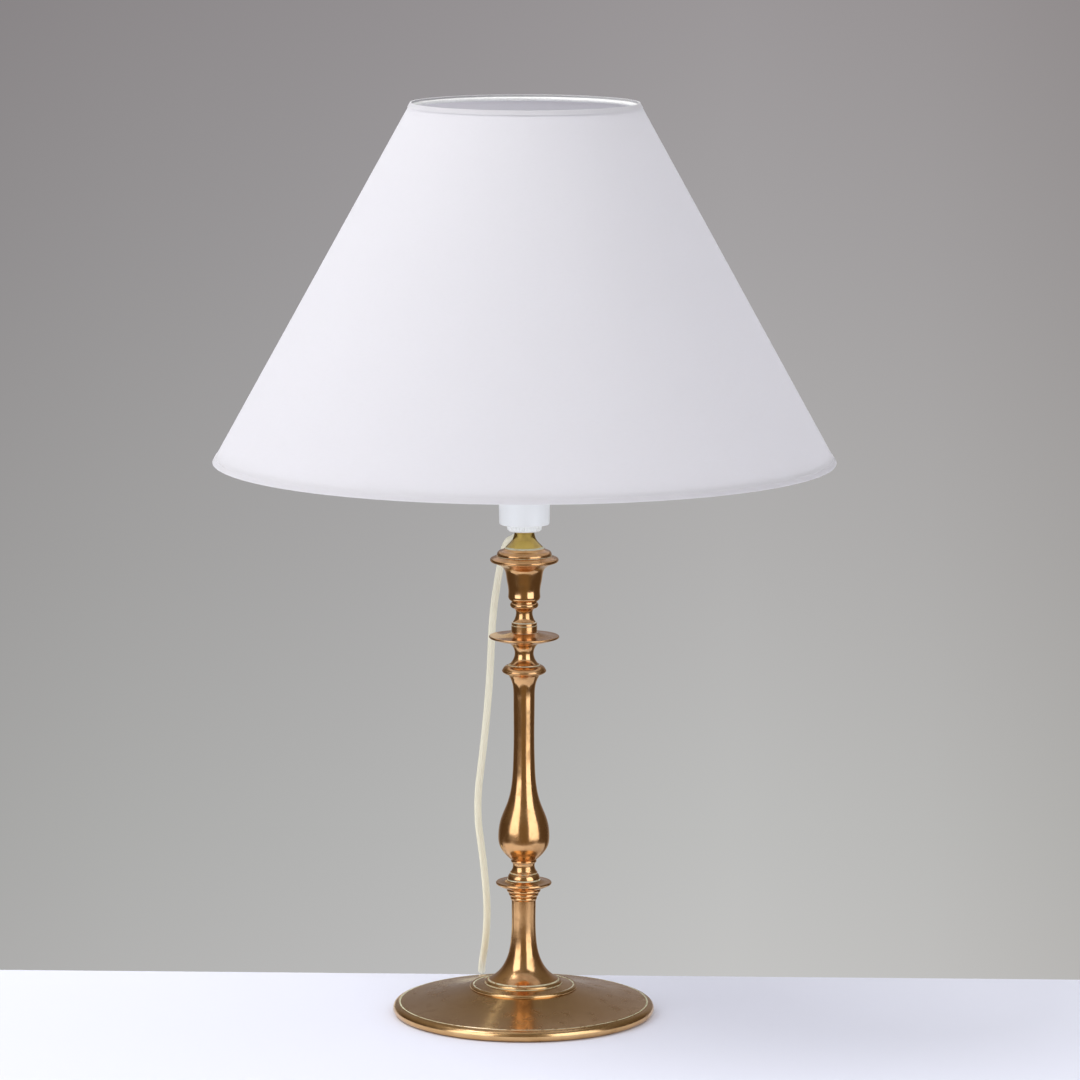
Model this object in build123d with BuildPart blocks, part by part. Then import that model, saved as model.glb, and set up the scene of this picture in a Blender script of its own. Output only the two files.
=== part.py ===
"""Candlestick table lamp: a turned brass candlestick with a lampholder in its cup and a cone shade.

Millimetres, +Z up. The origin is the centre of the base's underside, on the stem's axis.
The cord leaves the lamp towards -X and +Y, which is behind the lamp and to its left.
"""
import os
from math import atan2, cos, degrees, hypot, pi, radians, sin, tan

from build123d import *

# -------- stem: rod and seats
rod_radius = 4.0
rod_clearance = 0.2
rod_end_below_nut = 2.0
rod_nut_flats = 13.0
rod_nut_height = 6.0
washer_radius = 12.0
washer_thickness = 1.6
spigot_radius = 5.6
spigot_length = 1.6
seat_clearance = 0.1

# -------- base dish
base_radius = 105.6
base_height = 27.6
base_wall = 3.4
foot_ring_width = 3.2
rim_bulge_height = 3.9
rim_height = 9.4
rim_width = 6.0
outer_step_radius = 43.2
outer_step_height = 23.8
inner_step_radius = 30.8
step_rise = 2.6
step_groove_depth = 0.5
underside_ring_radius = base_radius - 4.5
base_boss_radius = 16.0
base_boss_height = 14.0

# -------- turned stem pieces
column_height = 75.2
column_foot_radius = 27.9
column_waist_radius = 9.6
column_ring_radii = (10.7, 12.0, 13.7)
column_ring_pitch = 3.3

disc_height = 7.4
disc_radius = 22.5
disc_hub_radius = 12.8

baluster_height = 175.5
baluster_bead_radius = 13.1
baluster_neck_radius = 8.8
baluster_ring_radius = 10.3
baluster_bulb_radius = 20.7
baluster_shaft_radius = 8.35
baluster_collar_radius = 17.8

spool_height = 18.5
spool_foot_radius = 12.2
spool_waist_radius = 7.6

pan_height = 8.0
pan_radius = 28.2
pan_hub_radius = 12.6
pan_dish_rise = 5.3

cup_spool_height = 24.2
cup_spool_collar_radius = 10.4
cup_spool_waist_radius = 6.6
cup_spool_ring_radius = 11.4

# -------- candle cup
cup_height = 44.6
cup_body_radius = 13.1
cup_bore_radius = 11.2
cup_floor = 6.0
cup_rim_radius = 27.5
cup_rim_height = 34.7
cup_bead_radius = 21.9
cup_mouth_radius = 13.0

# -------- converter in the cup
nipple_radius = 5.0
nipple_bore_radius = 3.6
nipple_clearance = 0.1
nipple_end_below_nut = 1.0
nipple_end_in_holder = 3.5
nipple_nut_flats = 14.0
nipple_nut_height = 3.0
plug_clearance = 0.2
plug_length = 22.0
flare_height = 13.5
flare_foot_radius = 14.9
flare_top_radius = 7.5
flare_wall = 1.2

# -------- cord outlet
outlet_height = 7.3
outlet_turn = 17.5
outlet_drop = 8.0
bush_inner_end = 6.2
bush_shoulder = 15.6
bush_outer_end = 26.2
bush_neck_radius = 3.6
bush_shoulder_radius = 4.4
bush_tip_radius = 3.6
cord_in_bush = 6.0

# -------- lampholder
collar_height = 5.5
collar_foot_radius = 13.6
collar_top_radius = 14.4
collar_notch_count = 24
collar_notch_radius = 0.7
collar_plain_edge = 1.2
holder_cap_height = 27.0
holder_cap_foot_radius = 20.1
holder_radius = 20.6
holder_wall = 2.2
holder_floor = 3.0
holder_flange_radius = 24.0
holder_flange_height = 25.0
holder_flange_thickness = 2.4
holder_thread_radius = 19.6
holder_thread_depth = 0.7
holder_thread_pitch = 2.5
holder_thread_turns = 6
holder_spigot_length = 5.0
holder_ledge_width = 2.0
insert_thickness = 6.0
insert_clearance = 0.1
shell_floor_radius = 8.0
shell_thickness = 0.5
shell_thread_radius = 13.5
shell_thread_depth = 1.0
shell_turns = 6
contact_width = 5.0
contact_thickness = 0.6
contact_rise = 3.4
terminal_offset = 11.5
terminal_head_radius = 2.4
terminal_head_height = 1.6
terminal_shank_radius = 1.5
terminal_slot_width = 0.7

# -------- bulb
thread_pitch = 3.62
bulb_gap = 0.5
bulb_cap_radius = 13.0
bulb_cap_wall = 0.4
bulb_cap_turns = 5
bulb_thread_depth = 0.8
bulb_button_radius = 4.6
bulb_button_height = 2.0
bulb_insulator_radius = 9.0
bulb_insulator_height = 3.2
bulb_joint_gap = 0.3
bulb_glass_radius = 30.0
bulb_glass_wall = 0.9
bulb_glass_height = 78.0
bulb_neck_radius = 12.2
bulb_neck_in_cap = 3.0
bulb_neck_straight = 1.5
bulb_stem_radius = 4.0
bulb_stem_height = 26.0
filament_radius = 1.1
filament_length = 30.0
filament_spread = 9.0
filament_count = 4

# -------- shade
shade_bottom_radius = 248.0
shade_top_radius = 90.9
shade_height = 284.7
shade_drop_below_seat = 2.9
shade_thickness = 0.8
trim_thickness = 0.5
trim_width = 3.6
ring_wire_radius = 1.75
ring_gap = 0.05
ring_inset = 3.0
arm_radius = 1.7
arm_count = 3
arm_first_angle = 90.0
fitter_bore_radius = 20.3
fitter_radius = 28.0
fitter_thickness = 1.4
seat_gap = 0.2
clamp_ring_radius = 25.5
clamp_ring_height = 5.0
clamp_ring_clearance = 0.1
clamp_ring_notches = 18
clamp_notch_radius = 0.9

# -------- cord, switch and plug
cord_radius = 3.0
cord_slide = 0.05
cord_in_switch = 46.0
coil_centre = (-205.0, 198.5)
coil_mean_radius = 32.4
coil_turns_wide = 3
coil_layers = 2
coil_lift = 1.0
coil_turns = 5.5
tie_width = 10.0
tie_thickness = 0.9
tie_slack = 1.2
switch_centre = (-133.0, 161.0)
switch_length = 62.0
switch_width = 26.0
switch_height = 20.0
switch_wall = 2.0
switch_corner_radius = 7.0
switch_cord_height = 9.0
rocker_length = 17.0
rocker_width = 10.0
rocker_gap = 0.4
rocker_tilt = 9.0
rocker_height = 7.0
rocker_pin_radius = 1.5
rocker_pin_clearance = 0.06
rocker_pin_length = 2.2
rocker_pin_depth = 3.4
rocker_end_slack = 0.6
rocker_taper = 0.9
rocker_hollow = 1.7
bearing_wall = 1.8
switch_screw_radius = 2.2
switch_screw_offset = (23.0, 6.5)
switch_screw_head_height = 1.8
switch_screw_length = 12.0
screw_slot_length = 3.2
screw_slot_width = 0.7
screw_slot_depth = 0.9
plug_start = (-128.0, 228.0)
plug_body_length = 36.0
plug_width = 35.3
plug_thickness = 13.7
plug_lift = 0.15
plug_rear_width = 13.0
plug_rear_thickness = 10.0
plug_relief_length = 24.0
plug_relief_radius = 4.6
plug_relief_tip_radius = 3.7
plug_relief_grooves = 4
relief_groove_pitch = 4.5
relief_groove_width = 1.4
pin_radius = 2.0
pin_length = 19.0
pin_spacing = 18.6
pin_in_body = 8.0

# -------- levels, from the sizes above
bore_radius = rod_radius + rod_clearance
socket_radius = spigot_radius + seat_clearance
socket_depth = spigot_length + seat_clearance
column_foot = base_height
disc_foot = column_foot + column_height
baluster_foot = disc_foot + disc_height
spool_foot = baluster_foot + baluster_height
pan_foot = spool_foot + spool_height
cup_spool_foot = pan_foot + pan_height
cup_foot = cup_spool_foot + cup_spool_height
cup_top = cup_foot + cup_height
flare_top = cup_top + flare_height
collar_top = flare_top + collar_height
holder_joint = collar_top + holder_cap_height
flange_top = holder_joint + holder_flange_height + holder_flange_thickness
holder_top = flange_top + holder_thread_pitch * (holder_thread_turns + 0.5)
insert_bottom = holder_joint
insert_top = insert_bottom + insert_thickness
shell_bottom = insert_top
bulb_foot = insert_top + contact_rise + contact_thickness + bulb_gap
bulb_cap_foot = bulb_foot + bulb_button_height + bulb_insulator_height
bulb_cap_top = bulb_cap_foot + thread_pitch * (bulb_cap_turns + 0.5)
fitter_bottom = flange_top + seat_gap
fitter_top = fitter_bottom + fitter_thickness
shade_bottom = fitter_bottom - shade_drop_below_seat
shade_top = shade_bottom + shade_height
shade_slope = (shade_bottom_radius - shade_top_radius) / shade_height
shade_run = hypot(1.0, shade_slope)


# ======== helpers
def close_on_rod(foot, head):
    """Close a turned outline from head to foot: socket above, bore for the rod, spigot below."""
    Polyline(
        head,
        (socket_radius, head[1]),
        (socket_radius, head[1] - socket_depth),
        (bore_radius, head[1] - socket_depth),
        (bore_radius, foot[1] - spigot_length),
        (spigot_radius, foot[1] - spigot_length),
        (spigot_radius, foot[1]),
        foot,
    )


def save(part, label):
    """Name a finished piece and write it as its own file."""
    part.part.label = label
    export_step(part.part, f"parts/{label}.step")


def hexagon_radius(flats):
    return flats / 2 / cos(pi / 6)


def shade_radius(height):
    """Outer radius of the cone at a height above the floor."""
    return shade_bottom_radius - shade_slope * (height - shade_bottom)


os.makedirs("parts", exist_ok=True)

# ======== base dish
groove_outer = base_radius - rim_width + 1.0
groove_inner = base_radius - rim_width
with BuildPart() as base_dish:
    with BuildSketch(Plane.XZ):
        with BuildLine():
            rim_foot = (underside_ring_radius, 0)
            rim_head = (groove_outer + 1.2, rim_height - 0.6)
            ThreePointArc(rim_foot, (base_radius, rim_bulge_height), rim_head)
            Polyline(rim_head, (groove_outer, rim_height), (groove_outer - 0.6, rim_height - 0.7),
                     (groove_inner - 0.2, rim_height + 0.1))
            slope_head = (outer_step_radius + 0.2, outer_step_height - step_rise)
            slope_middle = ((groove_inner + outer_step_radius) / 2,
                            (rim_height + outer_step_height - step_rise) / 2 - 1.2)
            ThreePointArc((groove_inner - 0.2, rim_height + 0.1), slope_middle, slope_head)
            outer_step = (outer_step_radius - 2.0, outer_step_height)
            ThreePointArc(slope_head, (outer_step_radius - 0.3, outer_step_height - 0.5), outer_step)
            Polyline(outer_step, (outer_step_radius - 2.7, outer_step_height - step_groove_depth),
                     (inner_step_radius + 0.9, base_height - step_rise),
                     (inner_step_radius, base_height - step_rise))
            inner_step = (inner_step_radius - 1.9, base_height)
            ThreePointArc((inner_step_radius, base_height - step_rise),
                          (inner_step_radius - 0.4, base_height - 0.5), inner_step)
            Polyline(
                inner_step,
                (inner_step_radius - 2.2, base_height - step_groove_depth),
                (column_foot_radius + 0.3, base_height),
                (socket_radius, base_height),
                (socket_radius, base_height - socket_depth),
                (bore_radius, base_height - socket_depth),
                (bore_radius, base_boss_height),
                (base_boss_radius, base_boss_height),
                (base_boss_radius, base_height - base_wall),
                (inner_step_radius - base_wall, base_height - base_wall),
                (outer_step_radius - base_wall, outer_step_height - base_wall),
            )
            ThreePointArc((outer_step_radius - base_wall, outer_step_height - base_wall),
                          (slope_middle[0] - 0.6, slope_middle[1] - base_wall),
                          (groove_inner - 1.5, rim_height - base_wall))
            Polyline((groove_inner - 1.5, rim_height - base_wall),
                     (underside_ring_radius - foot_ring_width, 0), rim_foot)
        make_face()
    revolve(axis=Axis.Z)
save(base_dish, "base_dish")

# ======== lower column: a trumpet and three rings
with BuildPart() as lower_column:
    with BuildSketch(Plane.XZ):
        with BuildLine():
            column_start = (column_foot_radius, column_foot)
            rings_start = disc_foot - 3 * column_ring_pitch
            trumpet_foot = (column_foot_radius, column_foot + 0.7)
            Line(column_start, trumpet_foot)
            trumpet_head = (column_waist_radius + 0.2, rings_start)
            Spline(
                trumpet_foot,
                (column_foot_radius * 0.59, column_foot + 11.6),
                (column_foot_radius * 0.44, column_foot + 21.5),
                (column_waist_radius + 0.7, column_foot + 33.0),
                (column_waist_radius, column_foot + 50.0),
                trumpet_head,
            )
            ring_foot = trumpet_head
            for index, radius in enumerate(column_ring_radii):
                ring_low = (radius - 0.9, rings_start + index * column_ring_pitch + 0.3)
                ring_high = (radius - 0.6, rings_start + (index + 1) * column_ring_pitch)
                Line(ring_foot, ring_low)
                ThreePointArc(ring_low, (radius, (ring_low[1] + ring_high[1]) / 2), ring_high)
                ring_foot = ring_high
            close_on_rod(column_start, ring_foot)
        make_face()
    revolve(axis=Axis.Z)
save(lower_column, "lower_column")

# ======== lower disc
with BuildPart() as lower_disc:
    with BuildSketch(Plane.XZ):
        with BuildLine():
            hub_foot = (disc_hub_radius, disc_foot)
            lip_low = (disc_radius - 0.8, disc_foot + 3.4)
            lip_high = (disc_radius - 0.7, disc_foot + 5.6)
            hub_head = (disc_hub_radius + 0.3, disc_foot + disc_height)
            ThreePointArc(hub_foot, (disc_radius - 4.6, disc_foot + 1.4), lip_low)
            ThreePointArc(lip_low, (disc_radius, disc_foot + 4.6), lip_high)
            ThreePointArc(lip_high, (disc_radius - 5.0, disc_foot + 5.8), hub_head)
            close_on_rod(hub_foot, hub_head)
        make_face()
    revolve(axis=Axis.Z)
save(lower_disc, "lower_disc")

# ======== baluster: bead, neck, bulb, shaft and collar
with BuildPart() as baluster_shaft:
    with BuildSketch(Plane.XZ):
        with BuildLine():
            bead_foot = (baluster_bead_radius - 0.2, baluster_foot)
            bead_head = (baluster_bead_radius - 2.1, baluster_foot + 5.0)
            ThreePointArc(bead_foot, (baluster_bead_radius - 0.5, baluster_foot + 2.8), bead_head)
            fillet_edge = (baluster_bead_radius - 2.1, baluster_foot + 6.1)
            neck_foot = (baluster_bead_radius - 2.6, baluster_foot + 6.5)
            neck_head = (baluster_neck_radius + 0.4, baluster_foot + 13.8)
            Polyline(bead_head, (baluster_bead_radius - 2.7, baluster_foot + 5.2),
                     (baluster_bead_radius - 2.2, baluster_foot + 5.6), fillet_edge, neck_foot)
            Spline(neck_foot, (baluster_neck_radius + 0.5, baluster_foot + 8.6),
                   (baluster_neck_radius, baluster_foot + 11.0), neck_head)
            bulb_start = (baluster_ring_radius - 0.5, baluster_foot + 16.1)
            ThreePointArc(neck_head, (baluster_ring_radius, baluster_foot + 15.0), bulb_start)
            shaft_head = (baluster_collar_radius - 5.2, spool_foot - 8.3)
            Spline(
                bulb_start,
                (baluster_bulb_radius * 0.75, baluster_foot + 21.4),
                (baluster_bulb_radius - 0.6, baluster_foot + 29.4),
                (baluster_bulb_radius, baluster_foot + 36.0),
                (baluster_bulb_radius * 0.9, baluster_foot + 49.4),
                (baluster_shaft_radius + 5.2, baluster_foot + 62.5),
                (baluster_shaft_radius + 1.75, baluster_foot + 77.1),
                (baluster_shaft_radius + 0.55, baluster_foot + 92.6),
                (baluster_shaft_radius, baluster_foot + 121.6),
                (baluster_shaft_radius + 0.2, spool_foot - 28.0),
                (baluster_shaft_radius + 1.3, spool_foot - 14.7),
                shaft_head,
            )
            collar_low = (baluster_collar_radius - 4.0, spool_foot - 7.4)
            collar_under = (baluster_collar_radius - 0.7, spool_foot - 5.9)
            collar_over = (baluster_collar_radius - 0.4, spool_foot - 3.7)
            collar_high = (baluster_collar_radius - 4.9, spool_foot)
            Line(shaft_head, collar_low)
            ThreePointArc(collar_low, (baluster_collar_radius - 2.1, spool_foot - 6.9), collar_under)
            ThreePointArc(collar_under, (baluster_collar_radius, spool_foot - 4.9), collar_over)
            ThreePointArc(collar_over, (baluster_collar_radius - 2.1, spool_foot - 1.3), collar_high)
            close_on_rod(bead_foot, collar_high)
        make_face()
    revolve(axis=Axis.Z)
save(baluster_shaft, "baluster_shaft")

# ======== spool between the baluster and the drip pan
with BuildPart() as upper_spool:
    with BuildSketch(Plane.XZ):
        with BuildLine():
            spool_start = (spool_foot_radius, spool_foot)
            spool_end = (pan_hub_radius, pan_foot)
            waist_foot = (spool_foot_radius - 0.8, spool_foot + 1.0)
            waist_head = (pan_hub_radius - 0.8, pan_foot - 1.0)
            Polyline(spool_start, (spool_foot_radius, spool_foot + 0.7), waist_foot)
            Spline(
                waist_foot,
                (spool_waist_radius + 1.8, spool_foot + 3.6),
                (spool_waist_radius, spool_foot + spool_height * 0.51),
                (spool_waist_radius + 0.9, pan_foot - 5.0),
                waist_head,
            )
            Line(waist_head, spool_end)
            close_on_rod(spool_start, spool_end)
        make_face()
    revolve(axis=Axis.Z)
save(upper_spool, "upper_spool")

# ======== drip pan
with BuildPart() as drip_pan:
    with BuildSketch(Plane.XZ):
        with BuildLine():
            pan_start = (pan_hub_radius, pan_foot)
            pan_low = (pan_radius - 0.7, pan_foot + pan_dish_rise - 1.8)
            pan_high = (pan_radius - 0.6, pan_foot + pan_dish_rise)
            pan_end = (cup_spool_collar_radius + 0.5, cup_spool_foot)
            pan_middle = (pan_radius + pan_hub_radius) / 2
            ThreePointArc(pan_start, (pan_middle, pan_foot + 1.2), pan_low)
            ThreePointArc(pan_low, (pan_radius, pan_foot + pan_dish_rise - 0.7), pan_high)
            ThreePointArc(pan_high, (pan_middle, pan_foot + pan_dish_rise + 0.3), pan_end)
            close_on_rod(pan_start, pan_end)
        make_face()
    revolve(axis=Axis.Z)
save(drip_pan, "drip_pan")

# ======== spool under the candle cup
with BuildPart() as cup_spool:
    with BuildSketch(Plane.XZ):
        with BuildLine():
            stub_foot = (cup_spool_collar_radius - 0.4, cup_spool_foot)
            neck_foot = (cup_spool_collar_radius - 0.9, cup_spool_foot + 8.4)
            neck_head = (cup_spool_ring_radius - 1.0, cup_foot - 3.9)
            ring_head = (cup_spool_ring_radius - 0.9, cup_foot)
            Polyline(
                stub_foot,
                (cup_spool_collar_radius - 0.4, cup_spool_foot + 0.9),
                (cup_spool_collar_radius, cup_spool_foot + 1.2),
                (cup_spool_collar_radius, cup_spool_foot + 5.3),
                (cup_spool_collar_radius - 0.7, cup_spool_foot + 5.7),
                (cup_spool_collar_radius - 0.2, cup_spool_foot + 6.2),
                (cup_spool_collar_radius - 0.2, cup_spool_foot + 7.7),
                neck_foot,
            )
            Spline(
                neck_foot,
                (cup_spool_waist_radius + 1.4, cup_spool_foot + 10.4),
                (cup_spool_waist_radius + 0.4, cup_spool_foot + 13.2),
                (cup_spool_waist_radius, cup_spool_foot + 16.0),
                neck_head,
            )
            ThreePointArc(neck_head, (cup_spool_ring_radius, cup_foot - 2.0), ring_head)
            close_on_rod(stub_foot, ring_head)
        make_face()
    revolve(axis=Axis.Z)
save(cup_spool, "cup_spool")

# ======== candle cup
with BuildPart() as candle_cup:
    with BuildSketch(Plane.XZ):
        with BuildLine():
            cup_start = (cup_body_radius - 2.9, cup_foot)
            shoulder_low = (cup_body_radius - 2.9, cup_foot + 1.2)
            shoulder_high = (cup_body_radius - 0.1, cup_foot + 5.0)
            Line(cup_start, shoulder_low)
            ThreePointArc(shoulder_low, (cup_body_radius - 0.9, cup_foot + 2.6), shoulder_high)
            rim_under = (cup_rim_radius - 1.7, cup_foot + cup_rim_height - 1.9)
            rim_over = (cup_rim_radius - 1.5, cup_foot + cup_rim_height + 1.7)
            Spline(
                shoulder_high,
                (cup_body_radius, cup_foot + 12.6),
                (cup_body_radius + 1.2, cup_foot + 19.1),
                (cup_body_radius + 3.3, cup_foot + cup_rim_height - 7.4),
                (cup_body_radius + 7.4, cup_foot + cup_rim_height - 4.2),
                rim_under,
            )
            ThreePointArc(rim_under, (cup_rim_radius, cup_foot + cup_rim_height), rim_over)
            bead_low = (cup_bead_radius - 0.1, cup_foot + cup_rim_height + 3.4)
            bead_high = (cup_bead_radius - 1.9, cup_top - 2.6)
            seat_edge = (flare_foot_radius + 0.6, cup_top)
            Polyline(rim_over, (cup_bead_radius + 0.5, cup_foot + cup_rim_height + 3.2),
                     (cup_bead_radius - 0.3, cup_foot + cup_rim_height + 2.8), bead_low)
            ThreePointArc(bead_low, (cup_bead_radius - 0.2, cup_top - 4.3), bead_high)
            ThreePointArc(bead_high, (cup_bead_radius - 4.1, cup_top - 1.9), seat_edge)
            Polyline(
                seat_edge,
                (cup_mouth_radius, cup_top),
                (cup_bore_radius, cup_top - 3.6),
                (cup_bore_radius, cup_foot + cup_floor),
                (bore_radius, cup_foot + cup_floor),
                (bore_radius, cup_foot - spigot_length),
                (spigot_radius, cup_foot - spigot_length),
                (spigot_radius, cup_foot),
                cup_start,
            )
        make_face()
    revolve(axis=Axis.Z)
save(candle_cup, "candle_cup")

# ======== rod, washer and nuts that clamp the stem
base_nut_bottom = base_boss_height - washer_thickness - rod_nut_height
cup_nut_bottom = cup_foot + cup_floor
rod_bottom = base_nut_bottom - rod_end_below_nut
rod_top = cup_nut_bottom + rod_nut_height + rod_end_below_nut
with BuildPart() as tie_rod:
    with BuildSketch(Plane.XY.offset(rod_bottom)):
        Circle(rod_radius)
    extrude(amount=rod_top - rod_bottom)
    chamfer(tie_rod.edges().filter_by(GeomType.CIRCLE), length=0.8)
save(tie_rod, "tie_rod")

with BuildPart() as base_washer:
    with BuildSketch(Plane.XY.offset(base_boss_height - washer_thickness)):
        Circle(washer_radius)
        Circle(bore_radius, mode=Mode.SUBTRACT)
    extrude(amount=washer_thickness)
save(base_washer, "base_washer")


def hex_nut(bottom, flats, height, hole_radius, label):
    with BuildPart() as nut:
        with BuildSketch(Plane.XY.offset(bottom)):
            RegularPolygon(hexagon_radius(flats), 6)
            Circle(hole_radius, mode=Mode.SUBTRACT)
        extrude(amount=height)
        with BuildSketch(Plane.XZ):
            with BuildLine():
                corner = hexagon_radius(flats)
                corner_cut = (corner - flats / 2) * 0.6
                Polyline((flats / 2, bottom), (corner, bottom), (corner, bottom + corner_cut), close=True)
            make_face()
        revolve(axis=Axis.Z, mode=Mode.SUBTRACT)
    save(nut, label)


hex_nut(base_nut_bottom, rod_nut_flats, rod_nut_height, rod_radius + seat_clearance, "base_nut")
hex_nut(cup_nut_bottom, rod_nut_flats, rod_nut_height, rod_radius + seat_clearance, "cup_nut")

# ======== converter: rubber plug, nut, nipple and flare
plug_bottom = cup_top - plug_length
nipple_bottom = plug_bottom - nipple_nut_height - nipple_end_below_nut
nipple_top = collar_top + holder_floor + nipple_end_in_holder
nipple_hole = nipple_radius + nipple_clearance
with BuildPart() as converter_plug:
    with BuildSketch(Plane.XZ):
        with BuildLine():
            plug_radius = cup_bore_radius - plug_clearance
            Polyline(
                (nipple_hole, plug_bottom),
                (plug_radius - 1.0, plug_bottom),
                (plug_radius, plug_bottom + 2.0),
                (plug_radius, cup_top - 4.0),
                (plug_radius - 1.0, cup_top - 4.0),
                (plug_radius - 1.0, cup_top),
                (nipple_hole, cup_top),
                close=True,
            )
        make_face()
    revolve(axis=Axis.Z)
save(converter_plug, "converter_plug")

hex_nut(plug_bottom - nipple_nut_height, nipple_nut_flats, nipple_nut_height, nipple_hole, "nipple_nut")

outlet_level = cup_top + outlet_height
outlet_direction = Vector(
    -sin(radians(outlet_turn)) * cos(radians(outlet_drop)),
    cos(radians(outlet_turn)) * cos(radians(outlet_drop)),
    -sin(radians(outlet_drop)),
)


def outlet_plane(distance):
    """Plane across the cord's way out, at a distance from the stem's axis."""
    origin = Vector(0, 0, outlet_level) + outlet_direction * distance
    return Plane(origin=origin, z_dir=outlet_direction)


with BuildPart() as converter_nipple:
    with BuildSketch(Plane.XY.offset(nipple_bottom)):
        Circle(nipple_radius)
        Circle(nipple_bore_radius, mode=Mode.SUBTRACT)
    extrude(amount=nipple_top - nipple_bottom)
    with BuildSketch(outlet_plane(0)):
        Circle(cord_radius)
    extrude(amount=nipple_radius * 2, mode=Mode.SUBTRACT)
save(converter_nipple, "converter_nipple")

with BuildPart() as converter_flare:
    with BuildSketch(Plane.XZ):
        with BuildLine():
            flare_start = (flare_foot_radius, cup_top)
            flare_low = (flare_foot_radius, cup_top + 0.6)
            flare_high = (flare_top_radius, flare_top - 0.6)
            Line(flare_start, flare_low)
            Spline(
                flare_low,
                (flare_foot_radius - 1.7, cup_top + 2.3),
                (flare_foot_radius - 3.8, cup_top + 4.5),
                (flare_top_radius + 1.8, cup_top + 7.2),
                (flare_top_radius + 0.8, flare_top - 3.2),
                flare_high,
            )
            Polyline(flare_high, (flare_top_radius, flare_top), (nipple_hole, flare_top),
                     (nipple_hole, flare_top - flare_wall),
                     (flare_top_radius - flare_wall, flare_top - flare_wall))
            Spline(
                (flare_top_radius - flare_wall, flare_top - flare_wall),
                (flare_top_radius + 0.8 - flare_wall, flare_top - 3.8),
                (flare_top_radius + 1.7 - flare_wall, cup_top + 6.8),
                (flare_foot_radius - 4.0 - flare_wall, cup_top + 3.8),
                (flare_foot_radius - flare_wall - 0.3, cup_top),
            )
            Line((flare_foot_radius - flare_wall - 0.3, cup_top), flare_start)
        make_face()
    revolve(axis=Axis.Z)
    with BuildSketch(outlet_plane(bush_inner_end)):
        Circle(bush_neck_radius + seat_clearance)
    extrude(amount=bush_shoulder, mode=Mode.SUBTRACT)
save(converter_flare, "converter_flare")

# ======== cord bush: neck in the flare, tapered relief outside
bush_bore_radius = cord_radius + cord_slide
with BuildPart() as cord_bush:
    with BuildSketch(outlet_plane(bush_inner_end)):
        Circle(bush_neck_radius)
        Circle(bush_bore_radius, mode=Mode.SUBTRACT)
    extrude(amount=bush_shoulder - bush_inner_end)
    with BuildSketch(outlet_plane(bush_shoulder)):
        Circle(bush_shoulder_radius)
    with BuildSketch(outlet_plane(bush_outer_end)):
        Circle(bush_tip_radius)
    loft()
    with BuildSketch(outlet_plane(bush_shoulder - 1.0)):
        Circle(bush_bore_radius)
    extrude(amount=bush_outer_end - bush_shoulder + 2.0, mode=Mode.SUBTRACT)
save(cord_bush, "cord_bush")

# ======== lampholder
with BuildPart() as holder_collar:
    with BuildSketch(Plane.XZ):
        with BuildLine():
            Polyline(
                (nipple_hole, flare_top),
                (collar_foot_radius - 1.2, flare_top),
                (collar_foot_radius, flare_top + 1.0),
                (collar_top_radius, collar_top),
                (nipple_hole, collar_top),
                close=True,
            )
        make_face()
    revolve(axis=Axis.Z)
    with BuildSketch(Plane.XY.offset(flare_top)):
        with PolarLocations(collar_foot_radius + 0.25, collar_notch_count):
            Circle(collar_notch_radius)
    extrude(amount=collar_height - collar_plain_edge, mode=Mode.SUBTRACT)
save(holder_collar, "holder_collar")

with BuildPart() as holder_cap:
    with BuildSketch(Plane.XZ):
        with BuildLine():
            Polyline(
                (nipple_hole, collar_top),
                (holder_cap_foot_radius - 0.5, collar_top),
                (holder_cap_foot_radius, collar_top + 0.5),
                (holder_radius, holder_joint),
                (holder_radius - holder_wall, holder_joint),
                (holder_radius - holder_wall, collar_top + holder_floor),
                (nipple_hole, collar_top + holder_floor),
                close=True,
            )
        make_face()
    revolve(axis=Axis.Z)
save(holder_cap, "holder_cap")

holder_spigot_radius = holder_radius - holder_wall - seat_clearance
holder_bore_radius = holder_spigot_radius - holder_wall
holder_flange_bottom = flange_top - holder_flange_thickness
with BuildPart() as holder_body:
    with BuildSketch(Plane.XZ):
        with BuildLine():
            outline = [
                (holder_spigot_radius, holder_joint - holder_spigot_length),
                (holder_spigot_radius, holder_joint),
                (holder_radius, holder_joint),
                (holder_radius, holder_flange_bottom),
                (holder_flange_radius, holder_flange_bottom),
                (holder_flange_radius, flange_top),
            ]
            for turn in range(holder_thread_turns):
                turn_foot = flange_top + turn * holder_thread_pitch
                outline.append((holder_thread_radius - holder_thread_depth, turn_foot))
                outline.append((holder_thread_radius - holder_thread_depth, turn_foot + 0.7))
                outline.append((holder_thread_radius, turn_foot + 1.2))
                outline.append((holder_thread_radius, turn_foot + 1.9))
            outline.append((holder_thread_radius - holder_thread_depth, holder_top - 0.8))
            outline.append((holder_thread_radius - holder_thread_depth, holder_top))
            outline.append((holder_bore_radius, holder_top))
            outline.append((holder_bore_radius, holder_joint))
            outline.append((holder_bore_radius - holder_ledge_width, holder_joint))
            outline.append((holder_bore_radius - holder_ledge_width, holder_joint - holder_spigot_length))
            Polyline(*outline, close=True)
        make_face()
    revolve(axis=Axis.Z)
save(holder_body, "holder_body")

with BuildPart() as holder_insert:
    with BuildSketch(Plane.XY.offset(insert_bottom)):
        Circle(holder_bore_radius - insert_clearance)
        with Locations((0, 0)):
            Rectangle(terminal_head_radius * 1.5, terminal_head_radius * 1.5, mode=Mode.SUBTRACT)
        with Locations((0, terminal_offset), (0, -terminal_offset)):
            Circle(terminal_head_radius, mode=Mode.SUBTRACT)
    extrude(amount=insert_thickness)
save(holder_insert, "holder_insert")

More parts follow.
